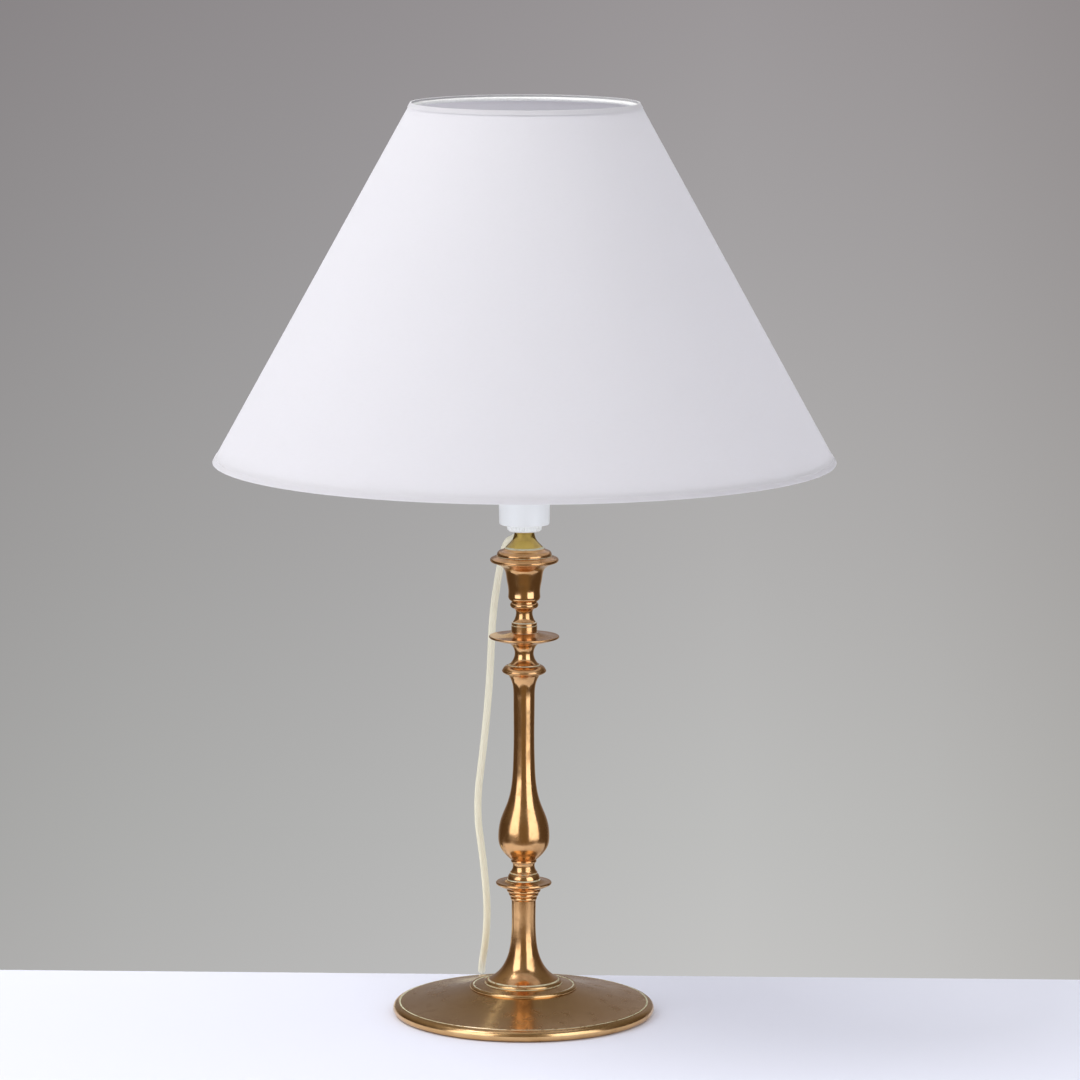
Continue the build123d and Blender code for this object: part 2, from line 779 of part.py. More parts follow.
with BuildPart() as screw_shell:
    with BuildSketch(Plane.XZ):
        with BuildLine():
            inner_wall = []
            outer_wall = []
            for turn in range(shell_turns + 1):
                crest = shell_bottom + shell_thickness + turn * thread_pitch
                inner_wall.append((shell_thread_radius + shell_thread_depth, crest))
                outer_wall.append((shell_thread_radius + shell_thread_depth + shell_thickness, crest))
                inner_wall.append((shell_thread_radius, crest + thread_pitch / 2))
                outer_wall.append((shell_thread_radius + shell_thickness, crest + thread_pitch / 2))
            Polyline(
                (shell_floor_radius, shell_bottom),
                (shell_thread_radius + shell_thread_depth + shell_thickness, shell_bottom),
                *outer_wall,
                *reversed(inner_wall),
                (shell_floor_radius, shell_bottom + shell_thickness),
                close=True,
            )
        make_face()
    revolve(axis=Axis.Z)
save(screw_shell, "screw_shell")

with BuildPart() as centre_contact:
    with BuildSketch(Plane.XZ):
        with BuildLine():
            contact_reach = shell_floor_radius - 1.0
            Polyline(
                (-contact_reach, insert_top),
                (-contact_reach + 2.5, insert_top),
                (2.6, insert_top + contact_rise - 0.4),
                (2.6, insert_top + contact_rise - 0.4 + contact_thickness),
                (0.0, insert_top + contact_rise + contact_thickness),
                (-2.0, insert_top + contact_rise - 0.6 + contact_thickness),
                (-contact_reach + 2.3, insert_top + contact_thickness),
                (-contact_reach, insert_top + contact_thickness),
                close=True,
            )
        make_face()
    extrude(amount=contact_width / 2, both=True)
save(centre_contact, "centre_contact")

with BuildPart() as terminal_screws:
    with BuildSketch(Plane.XY.offset(insert_bottom - terminal_head_height)):
        with Locations((0, terminal_offset), (0, -terminal_offset)):
            Circle(terminal_head_radius)
    extrude(amount=terminal_head_height)
    with BuildSketch(Plane.XY.offset(insert_bottom)):
        with Locations((0, terminal_offset), (0, -terminal_offset)):
            Circle(terminal_shank_radius)
    extrude(amount=insert_thickness - 1.0)
    with BuildSketch(Plane.XY.offset(insert_bottom - terminal_head_height)):
        with Locations((0, terminal_offset), (0, -terminal_offset)):
            Rectangle(terminal_head_radius * 2, terminal_slot_width)
    extrude(amount=terminal_slot_width, mode=Mode.SUBTRACT)
save(terminal_screws, "terminal_screws")

# ======== bulb
with BuildPart() as bulb_button:
    with BuildSketch(Plane.XY.offset(bulb_foot)):
        Circle(bulb_button_radius)
    extrude(amount=bulb_button_height)
    fillet(bulb_button.edges().sort_by(Axis.Z)[0], radius=bulb_button_height * 0.75)
save(bulb_button, "bulb_button")

insulator_foot = bulb_foot + bulb_button_height
with BuildPart() as bulb_insulator:
    with BuildSketch(Plane.XZ):
        with BuildLine():
            Polyline(
                (0, insulator_foot),
                (bulb_button_radius + 0.3, insulator_foot),
                (bulb_insulator_radius, bulb_cap_foot),
                (0, bulb_cap_foot),
                close=True,
            )
        make_face()
    revolve(axis=Axis.Z)
save(bulb_insulator, "bulb_insulator")

with BuildPart() as bulb_cap:
    with BuildSketch(Plane.XZ):
        with BuildLine():
            cap_outer = []
            cap_inner = []
            for turn in range(bulb_cap_turns):
                root = bulb_cap_foot + 0.8 + turn * thread_pitch
                cap_outer.append((bulb_cap_radius - bulb_thread_depth, root))
                cap_outer.append((bulb_cap_radius, root + thread_pitch / 2))
                cap_inner.append((bulb_cap_radius - bulb_thread_depth - bulb_cap_wall, root))
                cap_inner.append((bulb_cap_radius - bulb_cap_wall, root + thread_pitch / 2))
            cap_edge = bulb_insulator_radius + bulb_joint_gap
            Polyline(
                (cap_edge, bulb_cap_foot - 0.2),
                (bulb_cap_radius - bulb_thread_depth - 0.8, bulb_cap_foot),
                *cap_outer,
                (bulb_cap_radius - 0.1, bulb_cap_top),
                (bulb_cap_radius - 0.1 - bulb_cap_wall, bulb_cap_top),
                *reversed(cap_inner),
                (cap_edge, bulb_cap_foot + 0.3),
                close=True,
            )
        make_face()
    revolve(axis=Axis.Z)
save(bulb_cap, "bulb_cap")

glass_foot = bulb_cap_top - bulb_neck_in_cap
neck_head_height = bulb_cap_top + bulb_neck_straight
glass_top = glass_foot + bulb_glass_height
globe_centre = glass_top - bulb_glass_radius
with BuildPart() as bulb_glass:
    with BuildSketch(Plane.XZ):
        with BuildLine():
            shoulder = radians(-32)
            outer_tangent = (bulb_glass_radius * cos(shoulder),
                             globe_centre + bulb_glass_radius * sin(shoulder))
            Line((bulb_neck_radius, glass_foot), (bulb_neck_radius, neck_head_height))
            Spline((bulb_neck_radius, neck_head_height), outer_tangent,
                   tangents=[(0, 1), (-sin(shoulder), cos(shoulder))])
            globe_side = (cos(radians(35)), sin(radians(35)))
            outer_side = (bulb_glass_radius * globe_side[0], globe_centre + bulb_glass_radius * globe_side[1])
            ThreePointArc(outer_tangent, outer_side, (0, glass_top))
            Line((0, glass_top), (0, glass_top - bulb_glass_wall))
            inner_radius = bulb_glass_radius - bulb_glass_wall
            inner_tangent = (inner_radius * cos(shoulder), globe_centre + inner_radius * sin(shoulder))
            inner_side = (inner_radius * globe_side[0], globe_centre + inner_radius * globe_side[1])
            ThreePointArc((0, glass_top - bulb_glass_wall), inner_side, inner_tangent)
            Spline(inner_tangent, (bulb_neck_radius - bulb_glass_wall, neck_head_height),
                   tangents=[(sin(shoulder), -cos(shoulder)), (0, -1)])
            Polyline((bulb_neck_radius - bulb_glass_wall, neck_head_height),
                     (bulb_neck_radius - bulb_glass_wall, glass_foot), (bulb_neck_radius, glass_foot))
        make_face()
    revolve(axis=Axis.Z)
save(bulb_glass, "bulb_glass")

stem_top = glass_foot + bulb_stem_height
with BuildPart() as bulb_stem:
    with BuildSketch(Plane.XZ):
        with BuildLine():
            Polyline(
                (0, glass_foot),
                (bulb_neck_radius - bulb_glass_wall - 0.2, glass_foot),
                (bulb_neck_radius - bulb_glass_wall - 0.2, glass_foot + 1.5),
                (bulb_stem_radius, glass_foot + 7.0),
                (bulb_stem_radius * 0.6, stem_top),
                (0, stem_top),
                close=True,
            )
        make_face()
    revolve(axis=Axis.Z)
save(bulb_stem, "bulb_stem")

with BuildPart() as bulb_filaments:
    for index in range(filament_count):
        turn = radians(45 + index * 360 / filament_count)
        outward = Vector(cos(turn), sin(turn), 0)
        foot_point = outward * bulb_stem_radius * 0.55 + Vector(0, 0, stem_top)
        head_point = outward * filament_spread + Vector(0, 0, stem_top + filament_length)
        lean = (head_point - foot_point).normalized()
        with BuildSketch(Plane(origin=foot_point + lean * 0.6, z_dir=lean)):
            Circle(filament_radius)
        extrude(amount=filament_length)
save(bulb_filaments, "bulb_filaments")

# ======== shade: cone, edge tapes, wire rings, carrier
wall_across = shade_thickness * shade_run
tape_across = trim_thickness * shade_run
with BuildPart() as shade_cone:
    with BuildSketch(Plane.XZ):
        with BuildLine():
            Polyline(
                (shade_bottom_radius, shade_bottom),
                (shade_top_radius, shade_top),
                (shade_top_radius - wall_across, shade_top),
                (shade_bottom_radius - wall_across, shade_bottom),
                close=True,
            )
        make_face()
    revolve(axis=Axis.Z)
save(shade_cone, "shade_cone")


def edge_tape(edge_height, inward, label):
    """Tape folded over one edge of the cone: a band outside it and a lip across its edge."""
    band_end = edge_height + inward * trim_width / shade_run
    lip = edge_height - inward * trim_thickness
    with BuildPart() as tape:
        with BuildSketch(Plane.XZ):
            with BuildLine():
                Polyline(
                    (shade_radius(band_end), band_end),
                    (shade_radius(edge_height), edge_height),
                    (shade_radius(edge_height) - wall_across, edge_height),
                    (shade_radius(edge_height) - wall_across, lip),
                    (shade_radius(lip) + tape_across, lip),
                    (shade_radius(band_end) + tape_across, band_end),
                    close=True,
                )
            make_face()
        revolve(axis=Axis.Z)
    save(tape, label)


edge_tape(shade_bottom, 1, "shade_bottom_tape")
edge_tape(shade_top, -1, "shade_top_tape")


def wire_ring_radius(height):
    return shade_radius(height) - wall_across - (ring_wire_radius + ring_gap) * shade_run


def wire_ring(height, label):
    with BuildPart() as ring:
        with BuildSketch(Plane.XZ):
            with Locations((wire_ring_radius(height), height)):
                Circle(ring_wire_radius)
        revolve(axis=Axis.Z)
    save(ring, label)


bottom_ring_height = shade_bottom + ring_inset
top_ring_height = shade_top - ring_inset
wire_ring(bottom_ring_height, "shade_bottom_ring")
wire_ring(top_ring_height, "shade_top_ring")

with BuildPart() as carrier_ring:
    with BuildSketch(Plane.XY.offset(fitter_bottom)):
        Circle(fitter_radius)
        Circle(fitter_bore_radius, mode=Mode.SUBTRACT)
    extrude(amount=fitter_thickness)
save(carrier_ring, "carrier_ring")

arm_start_height = fitter_bottom + fitter_thickness / 2
arm_start_radius = fitter_radius + ring_gap
arm_end_radius = wire_ring_radius(bottom_ring_height) - ring_wire_radius - ring_gap
for arm in range(arm_count):
    arm_angle = radians(arm_first_angle + arm * 360 / arm_count)
    outward = Vector(cos(arm_angle), sin(arm_angle), 0)
    arm_foot = outward * arm_start_radius + Vector(0, 0, arm_start_height)
    arm_head = outward * arm_end_radius + Vector(0, 0, bottom_ring_height)
    with BuildPart() as carrier_arm:
        with BuildSketch(Plane(origin=arm_foot, z_dir=arm_head - arm_foot)):
            Circle(arm_radius)
        extrude(amount=(arm_head - arm_foot).length)
    save(carrier_arm, f"carrier_arm_{arm + 1}")

clamp_bottom = fitter_top + seat_gap
with BuildPart() as shade_clamp_ring:
    with BuildSketch(Plane.XY.offset(clamp_bottom)):
        Circle(clamp_ring_radius)
        Circle(holder_thread_radius + clamp_ring_clearance, mode=Mode.SUBTRACT)
        with PolarLocations(clamp_ring_radius, clamp_ring_notches):
            Circle(clamp_notch_radius, mode=Mode.SUBTRACT)
    extrude(amount=clamp_ring_height)
save(shade_clamp_ring, "shade_clamp_ring")

# ======== cord: routes chosen by hand, then the coil
cord_start = Vector(0, 0, outlet_level) + outlet_direction * (bush_outer_end - cord_in_bush)
switch_half = switch_length / 2
coil_height = coil_lift + coil_layers * 2 * cord_radius
lamp_run = [
    (cord_start.X, cord_start.Y, cord_start.Z),
    (-10.2, 32.3, 383.4),
    (-14.3, 45.3, 378.6),
    (-17.5, 55.6, 368.2),
    (-21.2, 63.0, 348.5),
    (-26.2, 69.5, 314.0),
    (-28.0, 77.0, 262.0),
    (-33.0, 87.0, 205.0),
    (-39.8, 97.0, 150.0),
    (-33.6, 101.5, 104.0),
    (-30.2, 104.3, 66.0),
    (-31.4, 106.4, 38.0),
    (-32.6, 111.0, 25.2),
    (-34.2, 118.8, 14.4),
    (-36.6, 129.6, 6.5),
    (-40.2, 142.0, 3.1),
    (-47.4, 153.2, 3.0),
    (-57.6, 161.2, 3.0),
    (-70.2, 164.6, 3.2),
    (-83.4, 163.6, 5.2),
    (-95.6, 161.0, 9.0),
    (-108.0, 161.0, 9.0),
]
coil_run = [
    (-158.5, 161.0, 9.0),
    (-170.0, 161.0, 9.0),
    (-181.0, 160.8, 6.0),
    (-192.0, 161.2, 4.0),
]
tail_run = [
    (-190.0, 236.4, 10.0),
    (-177.0, 233.6, 9.4),
    (-164.0, 228.0, 7.0),
    (-146.0, 228.0, 7.0),
]


def corner_radii(points):
    """Largest neat arc at each corner: 0.45 of the shorter run over the tangent of half the turn."""
    radii = []
    for before, corner, after in zip(points, points[1:], points[2:]):
        inward = Vector(*corner) - Vector(*before)
        outward = Vector(*after) - Vector(*corner)
        half_turn = radians(inward.get_angle(outward)) / 2
        radii.append(0.45 * min(inward.length, outward.length) / tan(half_turn))
    return radii


def cord_tube(points, label):
    radii = corner_radii(points)
    with BuildPart() as tube:
        with BuildLine():
            route = FilletPolyline(*points, radius=radii)
        with BuildSketch(Plane(origin=route @ 0, z_dir=route % 0)):
            Circle(cord_radius)
        sweep(path=route)
    length = route.length
    expected = pi * cord_radius**2 * length
    runs = [(Vector(*b) - Vector(*a)).length for a, b in zip(points, points[1:])]
    print(f"{label}: length {length:.1f}, volume over section x length {tube.part.volume / expected:.4f}")
    print("   runs", [round(run, 1) for run in runs])
    print("   radii", [round(radius, 1) for radius in radii])
    save(tube, label)
    return length


cord_lengths = [
    cord_tube(lamp_run, "cord_to_switch"),
    cord_tube(coil_run, "cord_to_coil"),
    cord_tube(tail_run, "cord_to_plug"),
    coil_turns * 2 * pi * coil_mean_radius,
]
print(f"cord in all {sum(cord_lengths):.0f} plus {cord_in_switch:.0f} through the switch")

with BuildPart() as cord_coil:
    with BuildSketch(Plane.XZ):
        with Locations((coil_mean_radius, (coil_lift + coil_height) / 2)):
            RectangleRounded(2 * cord_radius * coil_turns_wide, 2 * cord_radius * coil_layers,
                             cord_radius * 0.98)
    revolve(axis=Axis.Z)
    cord_coil.part.position = (coil_centre[0], coil_centre[1], 0)
save(cord_coil, "cord_coil")

with BuildPart() as coil_tie:
    tie_plane = Plane(
        origin=(coil_centre[0] - coil_mean_radius, coil_centre[1], (coil_lift + coil_height) / 2),
        x_dir=(1, 0, 0), z_dir=(0, -1, 0))
    tie_inner_width = 2 * cord_radius * coil_turns_wide + tie_slack
    tie_inner_height = 2 * cord_radius * coil_layers
    with BuildSketch(tie_plane):
        RectangleRounded(tie_inner_width + 2 * tie_thickness, tie_inner_height + 2 * tie_thickness,
                         cord_radius * 0.9 + tie_thickness)
        RectangleRounded(tie_inner_width, tie_inner_height, cord_radius * 0.9, mode=Mode.SUBTRACT)
    extrude(amount=tie_width / 2, both=True)
save(coil_tie, "coil_tie")

# ======== switch on the cord: two shells, a rocker and two screws
switch_x, switch_y = switch_centre
switch_base_plane = Plane(origin=(switch_x, switch_y, 0))
switch_split_plane = Plane(origin=(switch_x, switch_y, switch_cord_height))
inner_length = switch_length - 2 * switch_wall
inner_width = switch_width - 2 * switch_wall
channel_plane = Plane(origin=(switch_x - switch_half, switch_y, switch_cord_height), z_dir=(1, 0, 0))
channel_radius = cord_radius + cord_slide
screw_post_radius = switch_screw_radius + 1.6
screw_x, screw_y = switch_screw_offset
screw_places = ((screw_x, screw_y), (-screw_x, -screw_y))
with BuildPart() as switch_base:
    with BuildSketch(switch_base_plane):
        RectangleRounded(switch_length, switch_width, switch_corner_radius)
    extrude(amount=switch_cord_height)
    chamfer(switch_base.faces().sort_by(Axis.Z)[0].edges(), length=0.8)
    with BuildSketch(Plane(origin=(switch_x, switch_y, switch_wall))):
        RectangleRounded(inner_length, inner_width, switch_corner_radius - switch_wall)
        with Locations(*screw_places):
            Circle(screw_post_radius, mode=Mode.SUBTRACT)
    extrude(amount=switch_cord_height, mode=Mode.SUBTRACT)
    with BuildSketch(channel_plane):
        Circle(channel_radius)
    extrude(amount=switch_length, mode=Mode.SUBTRACT)
    with BuildSketch(switch_base_plane):
        with Locations(*screw_places):
            Circle(switch_screw_radius)
    extrude(amount=switch_cord_height, mode=Mode.SUBTRACT)
save(switch_base, "switch_base")

pin_height = switch_height - rocker_pin_depth
bearing_radius = rocker_pin_radius + rocker_pin_clearance
bearing_inner = rocker_width / 2 + rocker_gap
opening_length = rocker_length + 2 * rocker_gap
with BuildPart() as switch_cover:
    with BuildSketch(switch_split_plane):
        RectangleRounded(switch_length, switch_width, switch_corner_radius)
    extrude(amount=switch_height - switch_cord_height)
    fillet(switch_cover.faces().sort_by(Axis.Z)[-1].edges(), radius=2.5)
    with BuildSketch(switch_split_plane):
        RectangleRounded(inner_length, inner_width, switch_corner_radius - switch_wall)
        Rectangle(opening_length, 2 * (bearing_inner + bearing_wall), mode=Mode.SUBTRACT)
        with Locations(*screw_places):
            Circle(screw_post_radius, mode=Mode.SUBTRACT)
    extrude(amount=switch_height - switch_cord_height - switch_wall, mode=Mode.SUBTRACT)
    with BuildSketch(switch_split_plane):
        Rectangle(opening_length, 2 * bearing_inner)
    extrude(amount=switch_height, mode=Mode.SUBTRACT)
    with BuildSketch(Plane(origin=(switch_x, switch_y, pin_height), z_dir=(0, 1, 0))):
        Circle(bearing_radius)
    extrude(amount=bearing_inner + rocker_pin_length, both=True, mode=Mode.SUBTRACT)
    with BuildSketch(channel_plane):
        Circle(channel_radius)
    extrude(amount=switch_length, mode=Mode.SUBTRACT)
    with BuildSketch(switch_split_plane):
        with Locations(*screw_places):
            Circle(switch_screw_radius * 0.6)
    extrude(amount=6.0, mode=Mode.SUBTRACT)
save(switch_cover, "switch_cover")

rocker_plane = Plane(origin=(switch_x, switch_y, pin_height), x_dir=(1, 0, 0), z_dir=(0, -1, 0))
with BuildPart() as switch_rocker:
    with BuildSketch(rocker_plane):
        with BuildLine():
            half_rocker = rocker_length / 2 - rocker_end_slack
            ends_height = rocker_height / 2 + 1.4
            left_top = (-half_rocker, ends_height)
            right_top = (half_rocker, ends_height)
            right_foot = (half_rocker - rocker_taper, -rocker_height / 2 + 1.2)
            left_foot = (-half_rocker + rocker_taper, -rocker_height / 2 + 1.2)
            ThreePointArc(left_top, (0, ends_height - rocker_hollow), right_top)
            Line(right_top, right_foot)
            ThreePointArc(right_foot, (0, -rocker_height / 2), left_foot)
            Line(left_foot, left_top)
        make_face()
    extrude(amount=rocker_width / 2, both=True)
    fillet(switch_rocker.edges().filter_by(Axis.Y), radius=0.5)
    with BuildSketch(rocker_plane):
        Circle(rocker_pin_radius)
    extrude(amount=bearing_inner + rocker_pin_length - 0.4, both=True)
    rocker_axis = Axis((switch_x, switch_y, pin_height), (0, 1, 0))
    switch_rocker.part = switch_rocker.part.rotate(rocker_axis, -rocker_tilt)
save(switch_rocker, "switch_rocker")

with BuildPart() as switch_screws:
    with BuildSketch(Plane(origin=(switch_x, switch_y, 1.0))):
        with Locations(*screw_places):
            Circle(switch_screw_radius - 0.1)
    extrude(amount=switch_screw_head_height)
    with BuildSketch(Plane(origin=(switch_x, switch_y, 2.0))):
        with Locations(*screw_places):
            Circle(switch_screw_radius * 0.6 - 0.1)
    extrude(amount=switch_screw_length)
    with BuildSketch(Plane(origin=(switch_x, switch_y, 1.0))):
        with Locations(*screw_places):
            Rectangle(screw_slot_length, screw_slot_width)
            Rectangle(screw_slot_width, screw_slot_length)
    extrude(amount=screw_slot_depth, mode=Mode.SUBTRACT)
save(switch_screws, "switch_screws")

# ======== two-pin plug, lying flat beside the coil
plug_x, plug_y = plug_start
plug_axis_height = plug_thickness / 2 + plug_lift


def plug_plane(distance):
    """Plane across the plug, at a distance ahead of its rear face; width along Y, thickness along Z."""
    return Plane(origin=(plug_x + distance, plug_y, plug_axis_height), x_dir=(0, 1, 0), z_dir=(1, 0, 0))


with BuildPart() as plug_body:
    with BuildSketch(plug_plane(0)):
        SlotOverall(plug_rear_width, plug_rear_thickness)
    with BuildSketch(plug_plane(plug_body_length * 0.5)):
        SlotOverall(plug_width, plug_thickness)
    loft()
    with BuildSketch(plug_plane(plug_body_length * 0.5)):
        SlotOverall(plug_width, plug_thickness)
    extrude(amount=plug_body_length * 0.5)
    fillet(plug_body.faces().sort_by(Axis.X)[-1].edges(), radius=1.2)
    with BuildSketch(plug_plane(plug_body_length)):
        with Locations((pin_spacing / 2, 0), (-pin_spacing / 2, 0)):
            Circle(pin_radius)
    extrude(amount=-pin_in_body, mode=Mode.SUBTRACT)
save(plug_body, "plug_body")

with BuildPart() as plug_pins:
    with BuildSketch(plug_plane(plug_body_length - pin_in_body)):
        with Locations((pin_spacing / 2, 0), (-pin_spacing / 2, 0)):
            Circle(pin_radius)
    extrude(amount=pin_length + pin_in_body)
    fillet(plug_pins.faces().sort_by(Axis.X)[-2:].edges(), radius=1.2)
save(plug_pins, "plug_pins")

with BuildPart() as plug_relief:
    with BuildSketch(plug_plane(-plug_relief_length)):
        Circle(plug_relief_tip_radius)
    with BuildSketch(plug_plane(0)):
        Circle(plug_relief_radius)
    loft()
    for groove in range(plug_relief_grooves):
        with BuildSketch(plug_plane(-(groove + 1) * relief_groove_pitch)):
            Circle(plug_relief_radius + 1.0)
            Circle(plug_relief_tip_radius - 0.1, mode=Mode.SUBTRACT)
        extrude(amount=relief_groove_width, mode=Mode.SUBTRACT)
    with BuildSketch(plug_plane(-plug_relief_length)):
        Circle(bush_bore_radius)
    extrude(amount=plug_relief_length, mode=Mode.SUBTRACT)
save(plug_relief, "plug_relief")
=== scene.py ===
import math

import bmesh
import bpy
from mathutils import Matrix, Vector


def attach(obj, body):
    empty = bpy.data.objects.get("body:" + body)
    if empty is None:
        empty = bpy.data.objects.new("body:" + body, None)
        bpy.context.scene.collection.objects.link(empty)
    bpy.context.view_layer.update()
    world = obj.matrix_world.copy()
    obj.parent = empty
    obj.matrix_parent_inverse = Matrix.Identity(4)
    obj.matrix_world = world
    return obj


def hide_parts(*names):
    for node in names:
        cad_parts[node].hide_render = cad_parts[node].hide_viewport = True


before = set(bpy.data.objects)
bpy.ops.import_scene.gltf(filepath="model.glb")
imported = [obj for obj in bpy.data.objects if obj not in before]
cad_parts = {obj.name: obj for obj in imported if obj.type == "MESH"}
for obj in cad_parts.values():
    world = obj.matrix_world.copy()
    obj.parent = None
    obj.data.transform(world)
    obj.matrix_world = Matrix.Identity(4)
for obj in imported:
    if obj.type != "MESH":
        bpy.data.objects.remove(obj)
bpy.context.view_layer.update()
bpy.context.scene.view_settings.view_transform = "Standard"

FLOOR_EDGE = 0.134  # where the table top ends behind the lamp
EDGE_SLANT = 0.030  # the table's far edge comes nearer by this much for each metre to the right
CAMERA_PLACE = Vector((0.0125, -4.351, 1.042))
CAMERA_PITCH = math.radians(8.561)
CAMERA_ROLL = math.radians(0.13)
CAMERA_LENS = 183.33


# ---------------------------------------------------------------- camera


def place_camera():
    camera = bpy.data.objects.new("camera", bpy.data.cameras.new("camera"))
    bpy.context.scene.collection.objects.link(camera)
    camera.data.lens = CAMERA_LENS
    camera.data.sensor_width = 36.0
    camera.data.clip_start = 0.1
    camera.data.clip_end = 50.0
    camera.location = CAMERA_PLACE
    turn = Matrix.Rotation(math.pi / 2 - CAMERA_PITCH, 4, "X") @ Matrix.Rotation(CAMERA_ROLL, 4, "Z")
    camera.rotation_euler = turn.to_euler()
    bpy.context.scene.camera = camera


# ---------------------------------------------------------------- helpers for node trees


def node(tree, kind, inputs=None, **settings):
    """A shader node; each input is given as a value, or as another node's socket to link from."""
    made = tree.nodes.new("ShaderNode" + kind)
    for setting, value in settings.items():
        setattr(made, setting, value)
    for name, value in (inputs or {}).items():
        if isinstance(value, bpy.types.NodeSocket):
            tree.links.new(value, made.inputs[name])
        else:
            made.inputs[name].default_value = value
    return made


def rgba(colour):
    return (*colour, 1.0)


def math_node(tree, operation, first, second=0.0):
    return node(tree, "Math", {0: first, 1: second}, operation=operation).outputs[0]


def noise(tree, vector, scale, detail=2.0, roughness=0.5):
    inputs = {"Vector": vector, "Scale": scale, "Detail": detail, "Roughness": roughness}
    return node(tree, "TexNoise", inputs).outputs[0]


def map_range(tree, value, low, high, to_low=0.0, to_high=1.0):
    inputs = {"Value": value, "From Min": low, "From Max": high, "To Min": to_low, "To Max": to_high}
    return node(tree, "MapRange", inputs).outputs[0]


def ramp(tree, value, stops):
    """A colour ramp through (place, colour) stops."""
    made = node(tree, "ValToRGB", {"Fac": value})
    elements = made.color_ramp.elements
    while len(elements) < len(stops):
        elements.new(1.0)
    for element, (place, colour) in zip(elements, stops):
        element.position = place
        element.color = rgba(colour)
    return made.outputs["Color"]


def mix(tree, factor, first, second, blend="MIX"):
    """Two colours mixed; each is a colour or a socket."""
    made = node(tree, "Mix", {0: factor}, data_type="RGBA", blend_type=blend)
    for index, value in ((6, first), (7, second)):
        if isinstance(value, bpy.types.NodeSocket):
            tree.links.new(value, made.inputs[index])
        else:
            made.inputs[index].default_value = rgba(value)
    return made.outputs[2]


def bump(tree, height, distance, strength=1.0, under=None):
    inputs = {"Height": height, "Distance": distance, "Strength": strength}
    if under is not None:
        inputs["Normal"] = under
    return node(tree, "Bump", inputs).outputs[0]


def object_place(tree):
    return node(tree, "TexCoord").outputs["Object"]


def scaled(tree, vector, scale):
    return node(tree, "Mapping", {"Vector": vector, "Scale": scale}).outputs[0]


def new_material(name):
    material = bpy.data.materials.new(name)
    material.use_nodes = True
    return material, material.node_tree, material.node_tree.nodes["Principled BSDF"]


def connect(tree, shader, **sockets):
    for name, socket in sockets.items():
        tree.links.new(socket, shader.inputs[name.replace("_", " ")])


# ---------------------------------------------------------------- cord, switch, coil and plug

CORD_RADIUS = 0.003
LAMP_RUN = [
    (-0.0060, 0.0191, 0.3855),
    (-0.0102, 0.0323, 0.3834),
    (-0.0143, 0.0453, 0.3786),
    (-0.0175, 0.0556, 0.3682),
    (-0.0212, 0.0630, 0.3485),
    (-0.0262, 0.0695, 0.3140),
    (-0.0280, 0.0770, 0.2620),
    (-0.0330, 0.0870, 0.2050),
    (-0.0398, 0.0970, 0.1500),
    (-0.0336, 0.1015, 0.1040),
    (-0.0302, 0.1043, 0.0660),
    (-0.0314, 0.1064, 0.0380),
    (-0.0334, 0.1104, 0.0240),
    (-0.0350, 0.1172, 0.0120),
    (-0.0352, 0.1262, 0.0048),
    (-0.0352, 0.1400, 0.0031),
    (-0.0402, 0.1532, 0.0030),
    (-0.0495, 0.1628, 0.0030),
    (-0.0630, 0.1672, 0.0031),
    (-0.0834, 0.1650, 0.0052),
    (-0.0956, 0.1610, 0.0090),
    (-0.1080, 0.1610, 0.0090),
]
COIL_RUN = [
    (-0.1585, 0.1610, 0.0090),
    (-0.1700, 0.1610, 0.0090),
    (-0.1810, 0.1608, 0.0060),
    (-0.1920, 0.1595, 0.0040),
]
TAIL_RUN = [
    (-0.1900, 0.2364, 0.0100),
    (-0.1770, 0.2336, 0.0094),
    (-0.1640, 0.2280, 0.0070),
    (-0.1460, 0.2280, 0.0070),
]
COIL_CENTRE = (-0.2050, 0.1985)
COIL_TURNS = 5.5
COIL_POINTS = 16  # control points in one turn
COIL_OUTER = 0.0398
TURN_STEP = 0.0059
LOWER_TURNS = 2.75
LAYER_LIFT = 0.0059
LOWER_HEIGHT = 0.0040


def coil_points():
    """The winding: a flat spiral inward, a short rise, and a second spiral outward on top of it."""
    points = []
    steps = round(COIL_TURNS * COIL_POINTS)
    corner_allowance = 1.0 / math.cos(math.pi / COIL_POINTS)
    for step in range(1, steps):
        turn = step / COIL_POINTS
        inward = min(turn, 2 * LOWER_TURNS - turn)
        radius = (COIL_OUTER - TURN_STEP * inward) * corner_allowance
        rise = min(max((turn - LOWER_TURNS + 0.2) / 0.4, 0.0), 1.0)
        angle = -math.pi / 2 - turn * 2 * math.pi
        points.append(
            (
                COIL_CENTRE[0] + radius * math.cos(angle),
                COIL_CENTRE[1] + radius * math.sin(angle),
                LOWER_HEIGHT + LAYER_LIFT * rise,
            )
        )
    return points


def make_cord(material):
    points = LAMP_RUN + COIL_RUN + coil_points() + TAIL_RUN
    curve = bpy.data.curves.new("mains_cord", "CURVE")
    curve.dimensions = "3D"
    spline = curve.splines.new("NURBS")
    spline.points.add(len(points) - 1)
    for point, place in zip(spline.points, points):
        point.co = (*place, 1.0)
    spline.order_u = 3
    spline.use_endpoint_u = True
    spline.resolution_u = 6
    curve.bevel_depth = CORD_RADIUS
    curve.bevel_resolution = 6
    curve.use_fill_caps = True
    curve.materials.append(material)
    cord = bpy.data.objects.new("mains_cord", curve)
    bpy.context.scene.collection.objects.link(cord)
    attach(cord, "root")
    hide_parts("cord_to_switch", "cord_to_coil", "cord_coil", "cord_to_plug")
    on_cord = ["switch_base", "switch_cover", "switch_rocker", "switch_screws", "coil_tie"]
    on_cord += ["plug_body", "plug_pins", "plug_relief"]


# ---------------------------------------------------------------- stage: table, wall colour and lamps

